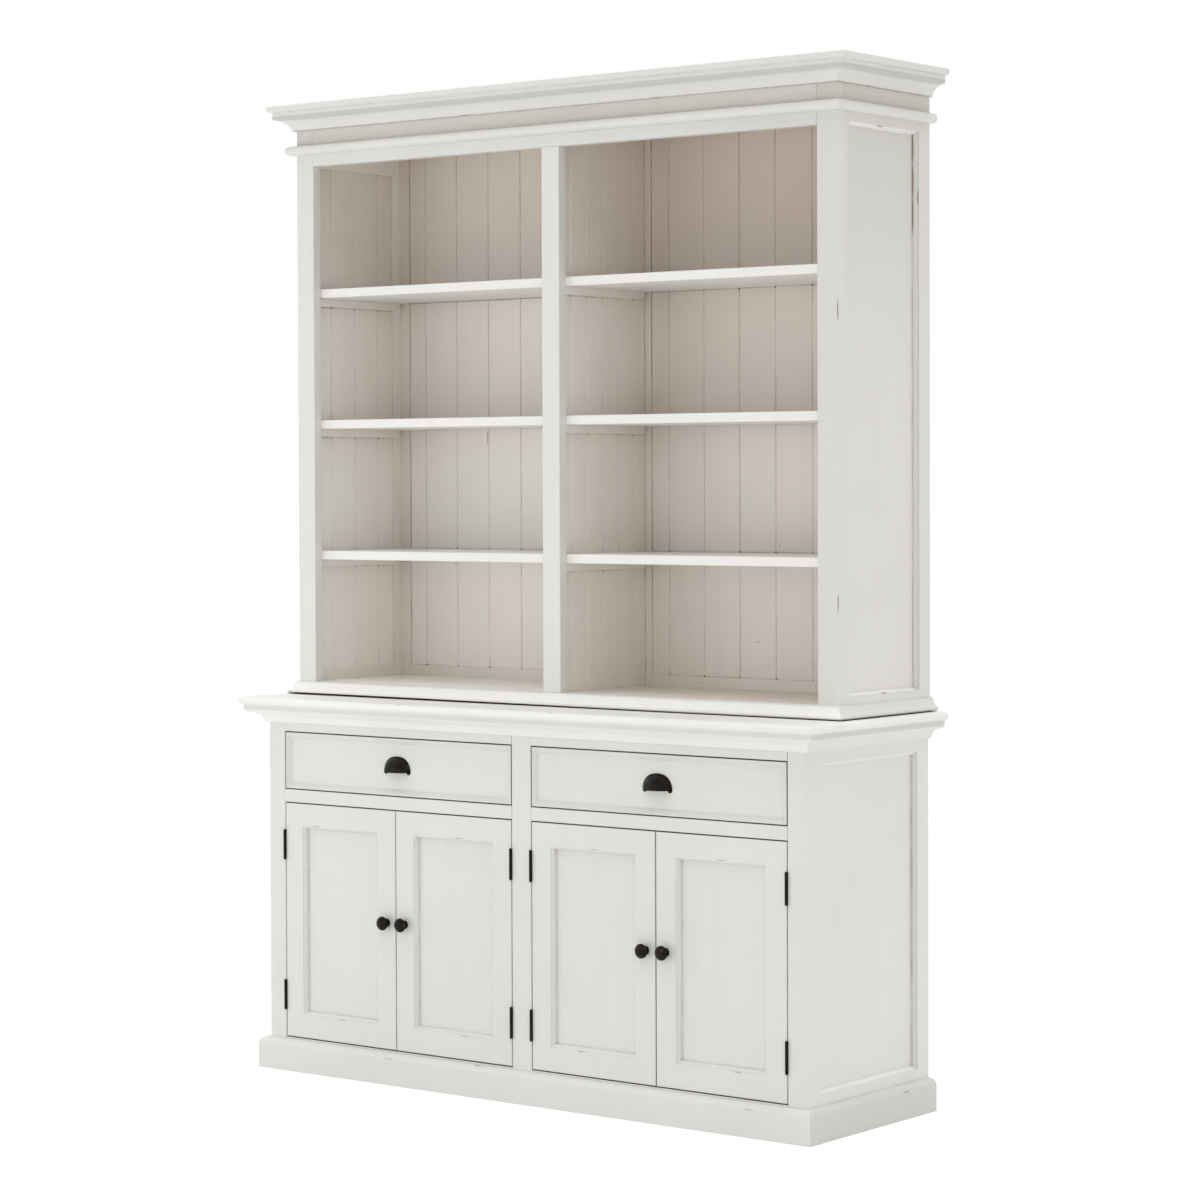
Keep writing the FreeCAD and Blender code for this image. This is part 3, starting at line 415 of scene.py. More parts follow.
class Finish:
    """A material, all of whose nodes come from node()."""

    def __init__(self, name):
        self.material = bpy.data.materials.new(name)
        self.material.use_nodes = True
        self.tree = self.material.node_tree
        self.tree.nodes.clear()
        self.place = self.node("TexCoord", output="Object")
        self.x, self.y, self.z = self.parts(self.place)

    def node(self, kind, settings=None, inputs=None, output=0):
        made = self.tree.nodes.new("ShaderNode" + kind)
        for key, value in (settings or {}).items():
            setattr(made, key, value)
        for key, value in (inputs or {}).items():
            if isinstance(value, Field):
                self.tree.links.new(value.socket, made.inputs[key])
            else:
                made.inputs[key].default_value = value
        return Field(self, made.outputs[output]) if made.outputs else None

    def parts(self, vector):
        first = self.node("SeparateXYZ", inputs={"Vector": vector})
        return [Field(self, socket) for socket in first.socket.node.outputs]

    def stretched(self, vector, rates):
        return self.node("VectorMath", {"operation": "MULTIPLY"}, {0: vector, 1: rates})

    def noise(self, vector, scale=1.0, detail=3.0, roughness=0.55):
        inputs = {"Vector": vector, "Scale": scale, "Detail": detail, "Roughness": roughness}
        return self.node("TexNoise", inputs=inputs)

    def patches(self, rates, limits, detail=3.0):
        """Soft patches, between the two levels of the noise at which they begin and are full."""
        return self.noise(self.stretched(self.place, rates), detail=detail).above(*limits)

    def mix(self, factor, first, second):
        inputs = {0: factor, 6: solid(first), 7: solid(second)}
        return self.node("Mix", {"data_type": "RGBA"}, inputs, output=2)

    def either(self, factor, first, second):
        inputs = {0: factor, 4: first, 5: second}
        return self.node("Mix", {"data_type": "VECTOR"}, inputs, output=1)

    def bump(self, height, distance, below=None):
        inputs = {"Height": height, "Distance": distance, "Strength": 1.0}
        if below:
            inputs["Normal"] = below
        return self.node("Bump", inputs=inputs)

    def crevice(self, reach):
        """1 in a narrow crevice, a half in a square corner, and 0 in the open."""
        return 1 - self.node("AmbientOcclusion", {"samples": 6}, {"Distance": reach}, output="AO")

    def spot(self, place, centre, half_sizes, ragged):
        """1 inside an ellipsoid with a ragged edge, and 0 outside it."""
        offset = self.node("VectorMath", {"operation": "SUBTRACT"}, {0: place, 1: centre})
        shape = self.node("VectorMath", {"operation": "DIVIDE"}, {0: offset, 1: half_sizes})
        away = self.node("VectorMath", {"operation": "LENGTH"}, {0: shape}, output="Value")
        return (away + ragged).under(*SPOT_EDGE)

    def surface(self, **inputs):
        named = {key.replace("_", " "): value for key, value in inputs.items()}
        self.node("OutputMaterial", inputs={"Surface": self.node("BsdfPrincipled", inputs=named)})
        return self.material


def solid(colour):
    return colour if isinstance(colour, Field) else (*colour, 1.0)


def shade(colour, share):
    return tuple(channel * share for channel in colour)


# Paint
def paint(name, colour, strokes, framed=None, stains_and_painted_light=(), sheen=0.42, dirt=OUTSIDE_DIRT, shine=0.5):
    """Brushed satin paint over wood.

    framed masks the rails, on which the strokes run level. Each mark is a mask, its colour and its
    strength, for dirt, wear, painted light or painted shade. sheen is the roughness, dirt gathers in
    the crevices, shine is the specular level.
    """
    finish = Finish(name)
    rates = finish.stretched(finish.place, STROKES[strokes])
    if framed:
        level = finish.stretched(finish.place, STROKES["level"])
        rates = finish.either(framed(finish), rates, level)
    bristles = finish.noise(rates, detail=2.0)
    grain = finish.noise(rates, scale=GRAIN_SCALE, detail=2.0)
    drift = finish.noise(finish.place, scale=DRIFT_SCALE, detail=2.0)
    strokes_tone = (bristles - 0.5) * BRISTLE_TONE + (grain - 0.5) * GRAIN_TONE
    tone = (strokes_tone + (drift - 0.5) * DRIFT_TONE + 0.5).above(0.0, 1.0)
    skin = finish.mix(tone, shade(colour, DARKER_PAINT), shade(colour, LIGHTER_PAINT))
    gloss = sheen + (bristles - 0.5) * BRISTLE_GLOSS + (drift - 0.5) * DRIFT_GLOSS
    for mask, mark_colour, strength in stains_and_painted_light:
        mark_share = mask(finish) * strength
        skin = finish.mix(mark_share, skin, mark_colour)
        gloss = gloss + mark_share * MARK_MATTE
    patches = finish.noise(finish.place, scale=GRIME_SCALE).above(*GRIME_PATCHES)
    grime = finish.crevice(GRIME_REACH).above(*GRIME_DEPTH) * (dirt[0] + dirt[1] * patches)
    skin = finish.mix(grime, skin, JOINT_DIRT)
    relief = finish.bump(bristles + 0.5 * grain, BRUSH_RELIEF)
    swells = finish.noise(finish.place, scale=SWELL_SCALE, detail=2.0)
    normal = finish.bump(swells, SWELL_RELIEF, relief)
    return finish.surface(Base_Color=skin, Roughness=gloss, Normal=normal, Specular_IOR_Level=shine)


# Marks on the boards inside the hutch
def boards(across, start, spacing, ends):
    """Two masks for a set of boards: dirt in their joints and ends, and holes where those meet."""
    def dirt(finish):
        away = across(finish).to_line(start, spacing)
        over_shelf = ((finish.z - SHELF_MIDDLE) / SHELF_SPACING).step("FRACT").under(*OVER_SHELF)
        patches = finish.patches(BOARD_PATCHES, JOINT_LIMITS)
        along_joint = away.under(*FINE_LINE) * (0.04 + 0.50 * patches + 0.34 * over_shelf)
        return along_joint.largest(finish.z.lines(ends, BOARD_END_LINE) * (0.10 + 0.60 * patches))

    def holes(finish):
        away = across(finish).to_line(start, spacing)
        unfilled = finish.patches(HOLE_PATCHES, HOLE_LIMITS, detail=1.0).from_least(LEAST_DIRT)
        return away.under(*HOLE_WIDTH) * finish.z.lines(ends, HOLE_HEIGHT) * unfilled

    return dirt, holes


def left_bay(finish):
    return finish.x.step("LESS_THAN", finish.x, 0.0)


def right_bay(finish):
    return finish.x.above(*RIGHT_BAY)


def across_back(finish):
    """Where a place is across the back, whose left boards lie a little to one side."""
    return finish.x - left_bay(finish) * LEFT_BAY_SHIFT


def inward(finish):
    return finish.y


def bay_edges(finish):
    """Dirt where the back's boards run behind its frame."""
    bay = (finish.x.size() - BACK_BAY_MIDDLE).size()
    patches = finish.patches(BOARD_PATCHES, FRAME_LIMITS).from_least(LEAST_DIRT)
    return bay.line(BACK_BAY_HALF, FRAME_LINE) * patches


def under_top_shelf(finish):
    """Dirt on the left bay's back, just under its top shelf."""
    return left_bay(finish) * finish.z.line(UPPER_BOARD_END, SHELF_LINE)


def bored(holes):
    """The left bay's back has no holes under its top shelf."""
    def mask(finish):
        return holes(finish) * (1 - left_bay(finish) * finish.z.above(*HOLED_BAYS))
    return mask


# Painted shade and painted light inside the hutch
def corner_shade(finish):
    """Painted shade, warm in tone, towards the inner corners, less of it low down."""
    share = finish.z.above(*LOWEST_BAYS).from_least(LOW_CORNER_SHARE)
    return finish.crevice(CORNER_REACH).above(*CORNER_DEPTH) * share


def top_bays(finish):
    """Painted shade: the highest compartments are a little darker."""
    return finish.z.above(*TOP_BAYS)


# Painted shade in the upper compartments of the right bay
def high_in_right_bay(finish):
    return right_bay(finish) * finish.z.above(*HIGH_BAYS)


def low_in_left_bay(finish):
    """Painted light: the lowest compartments on the left are the lightest."""
    return left_bay(finish) * finish.z.under(*LOW_BAYS)


def floor_front(finish):
    """Painted light: the floors are lighter towards their front, in the shelves' lighter white."""
    return finish.y.under(*FLOOR_FRONT)


# Pieces whose inside and outside are painted differently
def inside_of_sides(finish):
    return finish.x.size().under(*IN_SIDE_PANEL)


def inside_of_side_frames(finish):
    return finish.x.size().under(*IN_SIDE_FRAME)


def on_inside(marks):
    """The side boards are only jointed on their inside: outside they are one flat panel."""
    def mask(finish):
        return marks(finish) * inside_of_sides(finish)
    return mask


def on_front(marks):
    """The back's rear face has none of the marks that its front face has."""
    def mask(finish):
        return marks(finish) * finish.y.under(*IN_BACK)
    return mask


# Rails, on which the brush strokes run level
def bay_across(finish):
    """Distance from the middle of the nearest bay of the base."""
    return (finish.x.size() - BAY_MIDDLE).size()


def door_across(finish):
    """Distance from the middle of the nearest door."""
    return (bay_across(finish) - DOOR_MIDDLE).size()


def base_rail(finish):
    return bay_across(finish).under(BASE_BAY_HALF, BASE_BAY_HALF + EDGE)


def hutch_rail(finish):
    bay = (finish.x.size() - HUTCH_BAY_MIDDLE).size()
    return bay.under(HUTCH_BAY_HALF, HUTCH_BAY_HALF + EDGE / 2)


def door_rail(finish):
    return door_across(finish).under(DOOR_RAIL_HALF, DOOR_RAIL_HALF + EDGE / 2)


def base_side_rail(finish):
    across = (finish.y - BASE_SIDE_MIDDLE).size()
    return across.under(BASE_SIDE_RAIL_HALF, BASE_SIDE_RAIL_HALF + EDGE / 2)


def hutch_side_rail(finish):
    across = (finish.y - HUTCH_SIDE_MIDDLE).size()
    return across.under(HUTCH_SIDE_RAIL_HALF, HUTCH_SIDE_RAIL_HALF + EDGE / 2)


# Edges of the doors, of the drawers and of their openings, and the painted shade in the gaps round
# them
def narrow_gap(finish):
    """1 where another face is near, so that the painted shade on a front's edges only shows while it
    is shut.
    """
    return finish.crevice(GAP_REACH).above(*GAP_DEPTH)


def opening_edges(finish):
    """Painted shade on the insides of the openings, but not on the upright ones beside the doors."""
    on_rail = bay_across(finish).under(BASE_BAY_HALF - 0.001, BASE_BAY_HALF - EDGE)
    by_drawer = finish.z.above(DOOR_CENTRE + DOOR_HALF_HEIGHT, DRAWER_CENTRE - DRAWER_HALF_HEIGHT)
    return on_rail.largest(base_rail(finish) * by_drawer) * narrow_gap(finish)


def door_edges(finish):
    """Painted shade on a door's top and bottom, and where the right pair of doors meet."""
    ends = (finish.z - DOOR_CENTRE).size().above(DOOR_HALF_HEIGHT - EDGE, DOOR_HALF_HEIGHT)
    return finish.x.line(BAY_MIDDLE, MEETING_LINE).largest(ends) * narrow_gap(finish)


# Painted shade on the edges of the drawer fronts
def drawer_edges(finish):
    across = bay_across(finish).above(DRAWER_HALF_WIDTH - EDGE, DRAWER_HALF_WIDTH)
    ends = (finish.z - DRAWER_CENTRE).size().above(DRAWER_HALF_HEIGHT - EDGE, DRAWER_HALF_HEIGHT)
    return across.largest(ends) * narrow_gap(finish)


# Places where the outside paint, and its painted light and shade, change
def base_return(finish):
    """The outer edges of the base's face frame, which belong to its sides and share their painted
    light.
    """
    return finish.x.size().above(BASE_HALF_WIDTH - EDGE, BASE_HALF_WIDTH - EDGE / 2)


def frieze_band(finish):
    """Painted shade on the frieze, darker towards the astragal."""
    band = (finish.z - FRIEZE_MIDDLE).size().under(FRIEZE_HALF, FRIEZE_HALF + 0.001)
    on_side = finish.x.size().above(HUTCH_HALF_WIDTH - EDGE, HUTCH_HALF_WIDTH - EDGE / 2)
    up = finish.z.above(FRIEZE_MIDDLE - FRIEZE_HALF, FRIEZE_MIDDLE + FRIEZE_HALF)
    return band * (FRIEZE_MOST_SHADE - LIGHTER_UP * up - LIGHTER_ON_SIDE * on_side)


def under_hutch(finish):
    """Painted shadow in the seam where the hutch stands on the table."""
    across = finish.x.size().under(HUTCH_FOOT_X, HUTCH_FOOT_X + EDGE)
    behind = finish.y.above(HUTCH_FOOT_Y - EDGE, HUTCH_FOOT_Y)
    ragged = (finish.noise(finish.place, scale=SEAM_SCALE) - 0.5) * SEAM_RAGGED
    lowered = ragged + finish.x.above(*SEAM_RUN) * SEAM_THINNING
    over = finish.z.above(SEAM_LOW - EDGE, SEAM_LOW)
    return across * behind * over * (finish.z + lowered).under(SEAM_TOP, SEAM_TOP + EDGE)


def mitred(corner):
    """The fine line where two lengths of moulding meet round a front corner."""
    def mask(finish):
        return (finish.x.size() + finish.y).line(corner, FINE_LINE)
    return mask


def side_run(corner):
    """The lengths of a moulding that run along the bookcase's sides."""
    def mask(finish):
        return (finish.x.size() + finish.y).above(corner, corner + EDGE)
    return mask


def front_arris(half_width, front):
    """The handled arris of the front corners."""
    def mask(finish):
        arris = half_width - front
        return (finish.x.size() - finish.y).above(arris - 3 * EDGE, arris - EDGE)
    return mask


def rightward(finish):
    """Painted shade on the hutch's front, darker towards its right end."""
    on_face = finish.y.under(HUTCH_FRONT + EDGE, HUTCH_FRONT + 2 * EDGE)
    return finish.x.above(*RIGHT_OF_FRAME) * on_face


def level_lines(levels, widths):
    """Lines along a moulding: painted shade, such as in a hollow under what is above it, or a line
    of dirt.
    """
    def mask(finish):
        return finish.z.lines(levels, widths)
    return mask


def foot_low(finish):
    """Painted light: the lower half of the hutch's moulding is the brightest along its front."""
    return finish.z.under(*FOOT_LOW) * (1 - side_run(HUTCH_CORNER)(finish))


def rear_strip(finish):
    """Painted shade on the rear upright strips of the side panels, which are darker than the others.
    """
    past_panel = finish.y.above(STRIP_INSIDE, STRIP_INSIDE + 0.001)
    deeper = finish.y.above(STRIP_INSIDE + 0.003, STRIP_INSIDE + 0.006)
    return past_panel * deeper.from_least(LEAST_STRIP)


def strip_edges(finish):
    """Paint worn thin along both edges of the rear strips, in patches."""
    inner = finish.y.under(STRIP_INSIDE + EDGE, STRIP_INSIDE + 0.0014)
    outer = finish.y.above(STRIP_OUTSIDE - 0.0012, STRIP_OUTSIDE - 0.0006)
    worn = finish.patches(STRIP_PATCHES, STRIP_LIMITS, detail=4.0).from_least(LEAST_DIRT)
    return inner.largest(outer * 0.6) * worn * finish.y.above(*STRIP_START)


def shaded_upper_sides(finish):
    """Painted shade: the sides are darker and warmer towards the top."""
    return finish.z.above(*UPPER_SIDES)


def rubbed(marks, both_sides=False):
    """Short dashes where the paint is worn through, each with its middle and its half sizes."""
    def mask(finish):
        place = finish.place
        if both_sides:
            place = finish.node("VectorMath", {"operation": "ABSOLUTE"}, {0: place})
        ragged = (finish.noise(finish.place, scale=RUB_SCALE) - 0.5) * RUB_RAGGED
        spots = [finish.spot(place, centre, half_sizes, ragged) for centre, half_sizes in marks]
        return functools.reduce(Field.largest, spots)
    return mask


# Metal and bare wood
def screw_slots(finish):
    """The heads of the screws that hold the pulls, each with its slot and its rim."""
    across = bay_across(finish) - PULL_SCREW
    up = finish.z - PULL_SCREW_HEIGHT
    from_middle = across.step("SQRT", across * across + up * up)
    on_head = from_middle.under(SCREW_HEAD - EDGE, SCREW_HEAD)
    slot = (up - across * SLOT_SLOPE).line(0.0, SLOT_LINE) * on_head
    return slot.largest(from_middle.line(SCREW_HEAD, RIM_LINE))


def blackened(name, colour, rubbed_colour, hammer, share, marked=None):
    """Blackened metal with a hammered skin, a share of it rubbed back to copper in patches."""
    finish = Finish(name)
    sizes = {"Vector": finish.place, "Scale": DENT_SCALE, "Smoothness": 0.8}
    dents = finish.node("TexVoronoi", {"feature": "SMOOTH_F1"}, sizes)
    cloud = finish.noise(finish.place, scale=CLOUD_SCALE)
    copper = cloud.above(*RUBBED_BACK) * share
    tint = finish.mix(copper, colour, rubbed_colour)
    if marked:
        tint = finish.mix(marked(finish), tint, BLACK)
    relief = finish.bump(dents, hammer)
    gloss = METAL_ROUGHNESS + (cloud - 0.5) * CLOUD_GLOSS
    return finish.surface(
        Base_Color=tint, Roughness=gloss, Metallic=copper, Normal=relief,
        Specular_IOR_Level=METAL_SHINE,
    )


def pine(name, crosswise=None, jointed=None):
    """Bare softwood, whose grain runs inward, or along the bookcase where crosswise is 1."""
    finish = Finish(name)
    rates = finish.stretched(finish.place, STROKES["inward"])
    if crosswise:
        along = finish.stretched(finish.place, STROKES["along"])
        rates = finish.either(crosswise(finish), rates, along)
    wave = finish.noise(finish.stretched(rates, RING_STRETCH), detail=4.0)
    rings = wave.step("SINE", wave * RING_COUNT) * 0.5 + 0.5
    fibre = finish.noise(rates, scale=FIBRE_SCALE)
    grain = (rings * RING_TONE + fibre * FIBRE_TONE).above(*GRAIN_LIMITS)
    wood = finish.mix(grain, PINE, PINE_GRAIN)
    if jointed:
        pins, outline = jointed(finish)
        speckle = finish.noise(finish.place, scale=SPECKLE_SCALE)
        wood = finish.mix(pins * (PIN_TONE[0] + PIN_TONE[1] * speckle), wood, PINE_GRAIN)
        wood = finish.mix(outline * JOINT_TONE, wood, JOINT_DIRT)
    relief = finish.bump(fibre, FIBRE_RELIEF)
    gloss = PINE_ROUGHNESS + (fibre - 0.5) * FIBRE_GLOSS
    return finish.surface(Base_Color=wood, Roughness=gloss, Normal=relief)


def between_sides(finish):
    """The front, the back and the bottom of a drawer's box."""
    return bay_across(finish).under(DRAWER_SIDE_INSIDE - EDGE, DRAWER_SIDE_INSIDE)


def dovetails(finish):
    """End grain of the pins, and the lines round them, on the outer faces of a drawer's sides."""
    outer = bay_across(finish).above(DRAWER_SIDE_OUTSIDE - EDGE, DRAWER_SIDE_OUTSIDE - EDGE / 4)
    from_end = (finish.y - DRAWER_BOX_MIDDLE).size() * -1.0 + DRAWER_BOX_HALF
    in_joint = from_end.under(DOVETAIL_LENGTH - EDGE / 2, DOVETAIL_LENGTH)
    half_pin = DOVETAIL_NECK + from_end * DOVETAIL_SLOPE
    slant = finish.z.to_line(DOVETAIL_START, DOVETAIL_PITCH) - half_pin
    pins = slant.above(-EDGE / 2, 0.0) * in_joint * outer
    sides = slant.line(0.0, JOINT_LINE) * in_joint
    shoulder = from_end.line(DOVETAIL_LENGTH - EDGE / 4, JOINT_LINE)
    return pins, sides.largest(shoulder) * outer


# Finishing of the CAD pieces
def ease(piece):
    """Rounds the sharp edges of a CAD piece with modifiers that leave its mesh as it is."""
    weld = piece.modifiers.new("weld", "WELD")
    weld.merge_threshold = WELD
    flat = piece.modifiers.new("flat faces", "DECIMATE")
    flat.decimate_type = "DISSOLVE"
    flat.angle_limit = FLAT_ANGLE
    arris = piece.modifiers.new("eased arris", "BEVEL")
    arris.offset_type = "WIDTH"
    arris.width = ARRIS
    arris.segments = 2
    arris.limit_method = "ANGLE"
    arris.angle_limit = ARRIS_ANGLE
    arris.harden_normals = True


def coat(piece, material):
    for slot in piece.material_slots:
        slot.material = material


# Stage
def make_camera():
    data = bpy.data.cameras.new("camera")
    data.sensor_width = SENSOR_WIDTH
    data.lens = FOCAL_PIXELS * SENSOR_WIDTH / PHOTO_PIXELS
    data.shift_x = 0.5 - OPTICAL_CENTRE[0] / PHOTO_PIXELS
    data.shift_y = OPTICAL_CENTRE[1] / PHOTO_PIXELS - 0.5
    camera = bpy.data.objects.new("camera", data)
    camera.location = CAMERA_PLACE
    turn = (90.0 + CAMERA_TILT, -CAMERA_ROLL, CAMERA_TURN)
    camera.rotation_euler = [math.radians(angle) for angle in turn]
    bpy.context.collection.objects.link(camera)
    bpy.context.scene.camera = camera


def make_lamps():
    for name, (place, target, power) in LAMPS.items():
        data = bpy.data.lights.new(name, "AREA")
        data.size = LAMP_SIZE
        data.energy = power
        lamp = bpy.data.objects.new(name, data)
        lamp.location = place
        aim = Vector(target) - Vector(place)
        lamp.rotation_euler = aim.to_track_quat("-Z", "Y").to_euler()
        bpy.context.collection.objects.link(lamp)


def backdrop_rays(owner):
    """1 for the rays by which the backdrop is seen, straight or in a reflection."""
    seen = owner.node("LightPath", output="Is Camera Ray")
    shone = owner.node("LightPath", output="Is Glossy Ray")
    through = owner.node("LightPath", output="Is Transmission Ray")
    return seen.largest(shone).largest(through)


class Sky(Finish):
    """The world's nodes, made in the same way as a material's."""

    def __init__(self):
        self.material = bpy.data.worlds.new("studio")
        self.material.use_nodes = True
        self.tree = self.material.node_tree
        self.tree.nodes.clear()


def make_sky():
    sky = Sky()
    height = sky.parts(sky.node("TexCoord", output="Generated"))[2]
    up = height.largest(0.0)
    dome = SKY_LEVEL + SKY_ZENITH * (up * up * up * up)
    seen = backdrop_rays(sky)
    inputs = {"Color": solid(PURE_WHITE), "Strength": seen + (1 - seen) * dome}
    light = sky.node("Background", inputs=inputs)
    sky.node("OutputWorld", inputs={"Surface": light})
    bpy.context.scene.world = sky.material


def make_floor():
    bpy.ops.mesh.primitive_plane_add(size=FLOOR_SIZE)
    floor = bpy.context.object
    floor.name = "studio_floor"
    finish = Finish("studio floor")
    speck = finish.noise(finish.place, scale=FLOOR_SPECK_SCALE)
    tone = finish.mix(speck, FLOOR_COLOUR, shade(FLOOR_COLOUR, FLOOR_SPECK_TONE))
    paper = finish.node("BsdfDiffuse", inputs={"Color": tone})
    glow = finish.node("Emission", inputs={"Color": solid(PURE_WHITE), "Strength": FLOOR_GLOW})
    shown = backdrop_rays(finish) * (1.0 - FLOOR_SHADOW)
    mixed = finish.node("MixShader", inputs={0: shown, 1: paper, 2: glow})
    finish.node("OutputMaterial", inputs={"Surface": mixed})
    floor.data.materials.append(finish.material)


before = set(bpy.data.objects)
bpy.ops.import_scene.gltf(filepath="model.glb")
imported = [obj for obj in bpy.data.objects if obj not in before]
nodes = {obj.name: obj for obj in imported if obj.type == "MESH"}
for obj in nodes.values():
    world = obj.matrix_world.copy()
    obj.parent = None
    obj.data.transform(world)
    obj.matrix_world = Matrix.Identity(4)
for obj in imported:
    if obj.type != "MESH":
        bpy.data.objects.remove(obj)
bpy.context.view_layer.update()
bpy.ops.object.select_all(action="DESELECT")

# Stains and painted shade that several paints have
# Painted shade on the frieze, between the crown and the astragal
frieze_shade = (frieze_band, FRIEZE_SHADE_TONE, 0.85)
# Painted shadow in the seam under the hutch
seam = (under_hutch, SEAM_SHADOW_AND_NAIL_DARK, 0.97)
hutch_mitre = (mitred(HUTCH_CORNER), ARRIS_TONE, 0.35)
# Painted shade towards the inner corners
warm = (corner_shade, CORNER_SHADE_TONE, 0.45)
# Painted shade in the highest compartments
top_bay_shade = (top_bays, CORNER_SHADE_TONE, 0.27)
back_dirt, back_holes = boards(across_back, BACK_FIRST_JOINT, BACK_BOARD, BACK_BOARD_ENDS)
side_dirt, side_holes = boards(inward, SIDE_FIRST_JOINT, SIDE_BOARD, CLEAT_ENDS)
partition_dirt, partition_holes = boards(inward, PARTITION_FIRST_JOINT, PARTITION_BOARD, CLEAT_ENDS)

# Paints of the outside
upright_white = paint("upright white paint", WHITE, "upright")
level_white = paint("level white paint", WHITE, "level", stains_and_painted_light=[frieze_shade, hutch_mitre])
# The table's moulding in a lighter white, for painted light
table_edge_white = paint(
    "table moulding paint", TABLE_WHITE_PAINTED_LIGHT, "level",
    stains_and_painted_light=[
        (side_run(BASE_CORNER), SHADED_TONE, 0.25),
        (level_lines([TABLE_HOLLOW], HOLLOW_LINE), HOLLOW_SHADE_TONE, 0.42),
        (mitred(BASE_CORNER), ARRIS_TONE, 0.35),
    ],
    dirt=MOULDING_DIRT,
)
# The hutch's moulding in a lighter white, for painted light
hutch_foot_white = paint(
    "hutch moulding paint", TABLE_WHITE_PAINTED_LIGHT, "level",
    stains_and_painted_light=[
        (side_run(HUTCH_CORNER), SHADED_TONE, 0.45),
        hutch_mitre,
        (level_lines(FOOT_LINES, FOOT_LINE), HOLLOW_SHADE_TONE, 0.35),
        (foot_low, FOOT_PAINTED_LIGHT, 0.8),
        seam,
    ],
    dirt=MOULDING_DIRT, shine=0.12,
)
plinth_white = paint(
    "plinth paint", WHITE, "level",
    stains_and_painted_light=[(side_run(BASE_CORNER), SHADED_TONE, 0.6), (rubbed(PLINTH_RUBS), WORN_WOOD, 0.7)],
)
# The base's sides in a lighter white, for painted light
side_panel_white = paint("base side panel paint", SIDE_WHITE_PAINTED_LIGHT, "upright")
crown_white = paint(
    "crown paint", WHITE, "level",
    stains_and_painted_light=[
        (level_lines([CROWN_HOLLOW], HOLLOW_LINE), HOLLOW_SHADE_TONE, 0.8),
        (level_lines([CROWN_FOOT], DUST_LINE), JOINT_DIRT, 0.4),
        (mitred(HUTCH_CORNER), ARRIS_TONE, 0.4),
        (rubbed(CROWN_RUBS), WORN_WOOD, 0.6),
    ],
)
drawer_white = paint(
    "drawer front paint", WHITE, "level", stains_and_painted_light=[(drawer_edges, GAP_SHADE_COLOUR, 0.95)],
)
cap_white = paint("cap paint", WHITE, "along")
# The table's top in the lightest white, for painted light
table_white = paint(
    "table top paint", TABLE_TOP_PAINTED_LIGHT, "along",
    stains_and_painted_light=[seam, (rubbed(TABLE_RUBS), WORN_WOOD, 0.6)], sheen=0.40, shine=0.25,
)
base_face_white = paint(
    "base face frame paint", WHITE, "upright", base_rail,
    [
        (base_return, SIDE_WHITE_PAINTED_LIGHT, 1.0),
        (opening_edges, GAP_SHADE_COLOUR, 0.95),
        (front_arris(BASE_HALF_WIDTH, BASE_FRONT), ARRIS_TONE, 0.25),
    ],
)
hutch_face_white = paint(
    "hutch face frame paint", WHITE, "upright", hutch_rail,
    [
        (rightward, SHADED_TONE, 0.54),
        frieze_shade,
        seam,
        (front_arris(HUTCH_HALF_WIDTH, HUTCH_FRONT), ARRIS_TONE, 0.25),
        (rubbed(HUTCH_CORNER_RUBS), WORN_WOOD, 0.8),
    ],
)
door_white = paint(
    "door frame paint", WHITE, "upright", door_rail,
    [(door_edges, GAP_SHADE_COLOUR, 0.95), (rubbed(DOOR_RUBS), WORN_WOOD, 0.7)],
)
# The base's side frames in the same lighter white, for painted light
base_side_white = paint("base side frame paint", SIDE_WHITE_PAINTED_LIGHT, "upright", base_side_rail)
hutch_side_white = paint(
    "hutch side frame paint", WHITE, "upright", hutch_side_rail,
    [(shaded_upper_sides, SIDE_SHADE_TONE, 0.75), frieze_shade, seam, (inside_of_side_frames, INSIDE, 1.0)],
)
# The side mouldings in a lighter white: a painted highlight
side_moulding_white = paint(
    "side moulding paint", SHELF_WHITE_PAINTED_LIGHT, "upright",
    stains_and_painted_light=[
        (rear_strip, STRIP_SHADE_TONE, 0.9),
        (strip_edges, WORN_WOOD, 0.5),
        (rubbed(SIDE_RUBS, both_sides=True), WORN_WOOD, 0.85),
    ],
    dirt=MOULDING_DIRT,
)
side_board_white = paint(
    "side board paint", SIDE_BOARD_WHITE, "upright",
    stains_and_painted_light=[
        (shaded_upper_sides, SIDE_BOARD_SHADE_TONE, 0.8),
        (inside_of_sides, INSIDE, 1.0),
        (on_inside(low_in_left_bay), INSIDE_PAINTED_LIGHT, 0.65),
        (on_inside(corner_shade), CORNER_SHADE_TONE, 0.36),
        (on_inside(top_bays), CORNER_SHADE_TONE, 0.27),
        (on_inside(side_dirt), JOINT_DIRT, 0.8),
        (on_inside(side_holes), HOLE_DARK, 0.85),
        (rubbed(SIDE_NAILS, both_sides=True), SEAM_SHADOW_AND_NAIL_DARK, 0.6),
    ],
)
# The shelves are white, in a lighter copy for painted light
shelf_white = paint("shelf paint", SHELF_WHITE_PAINTED_LIGHT, "along")

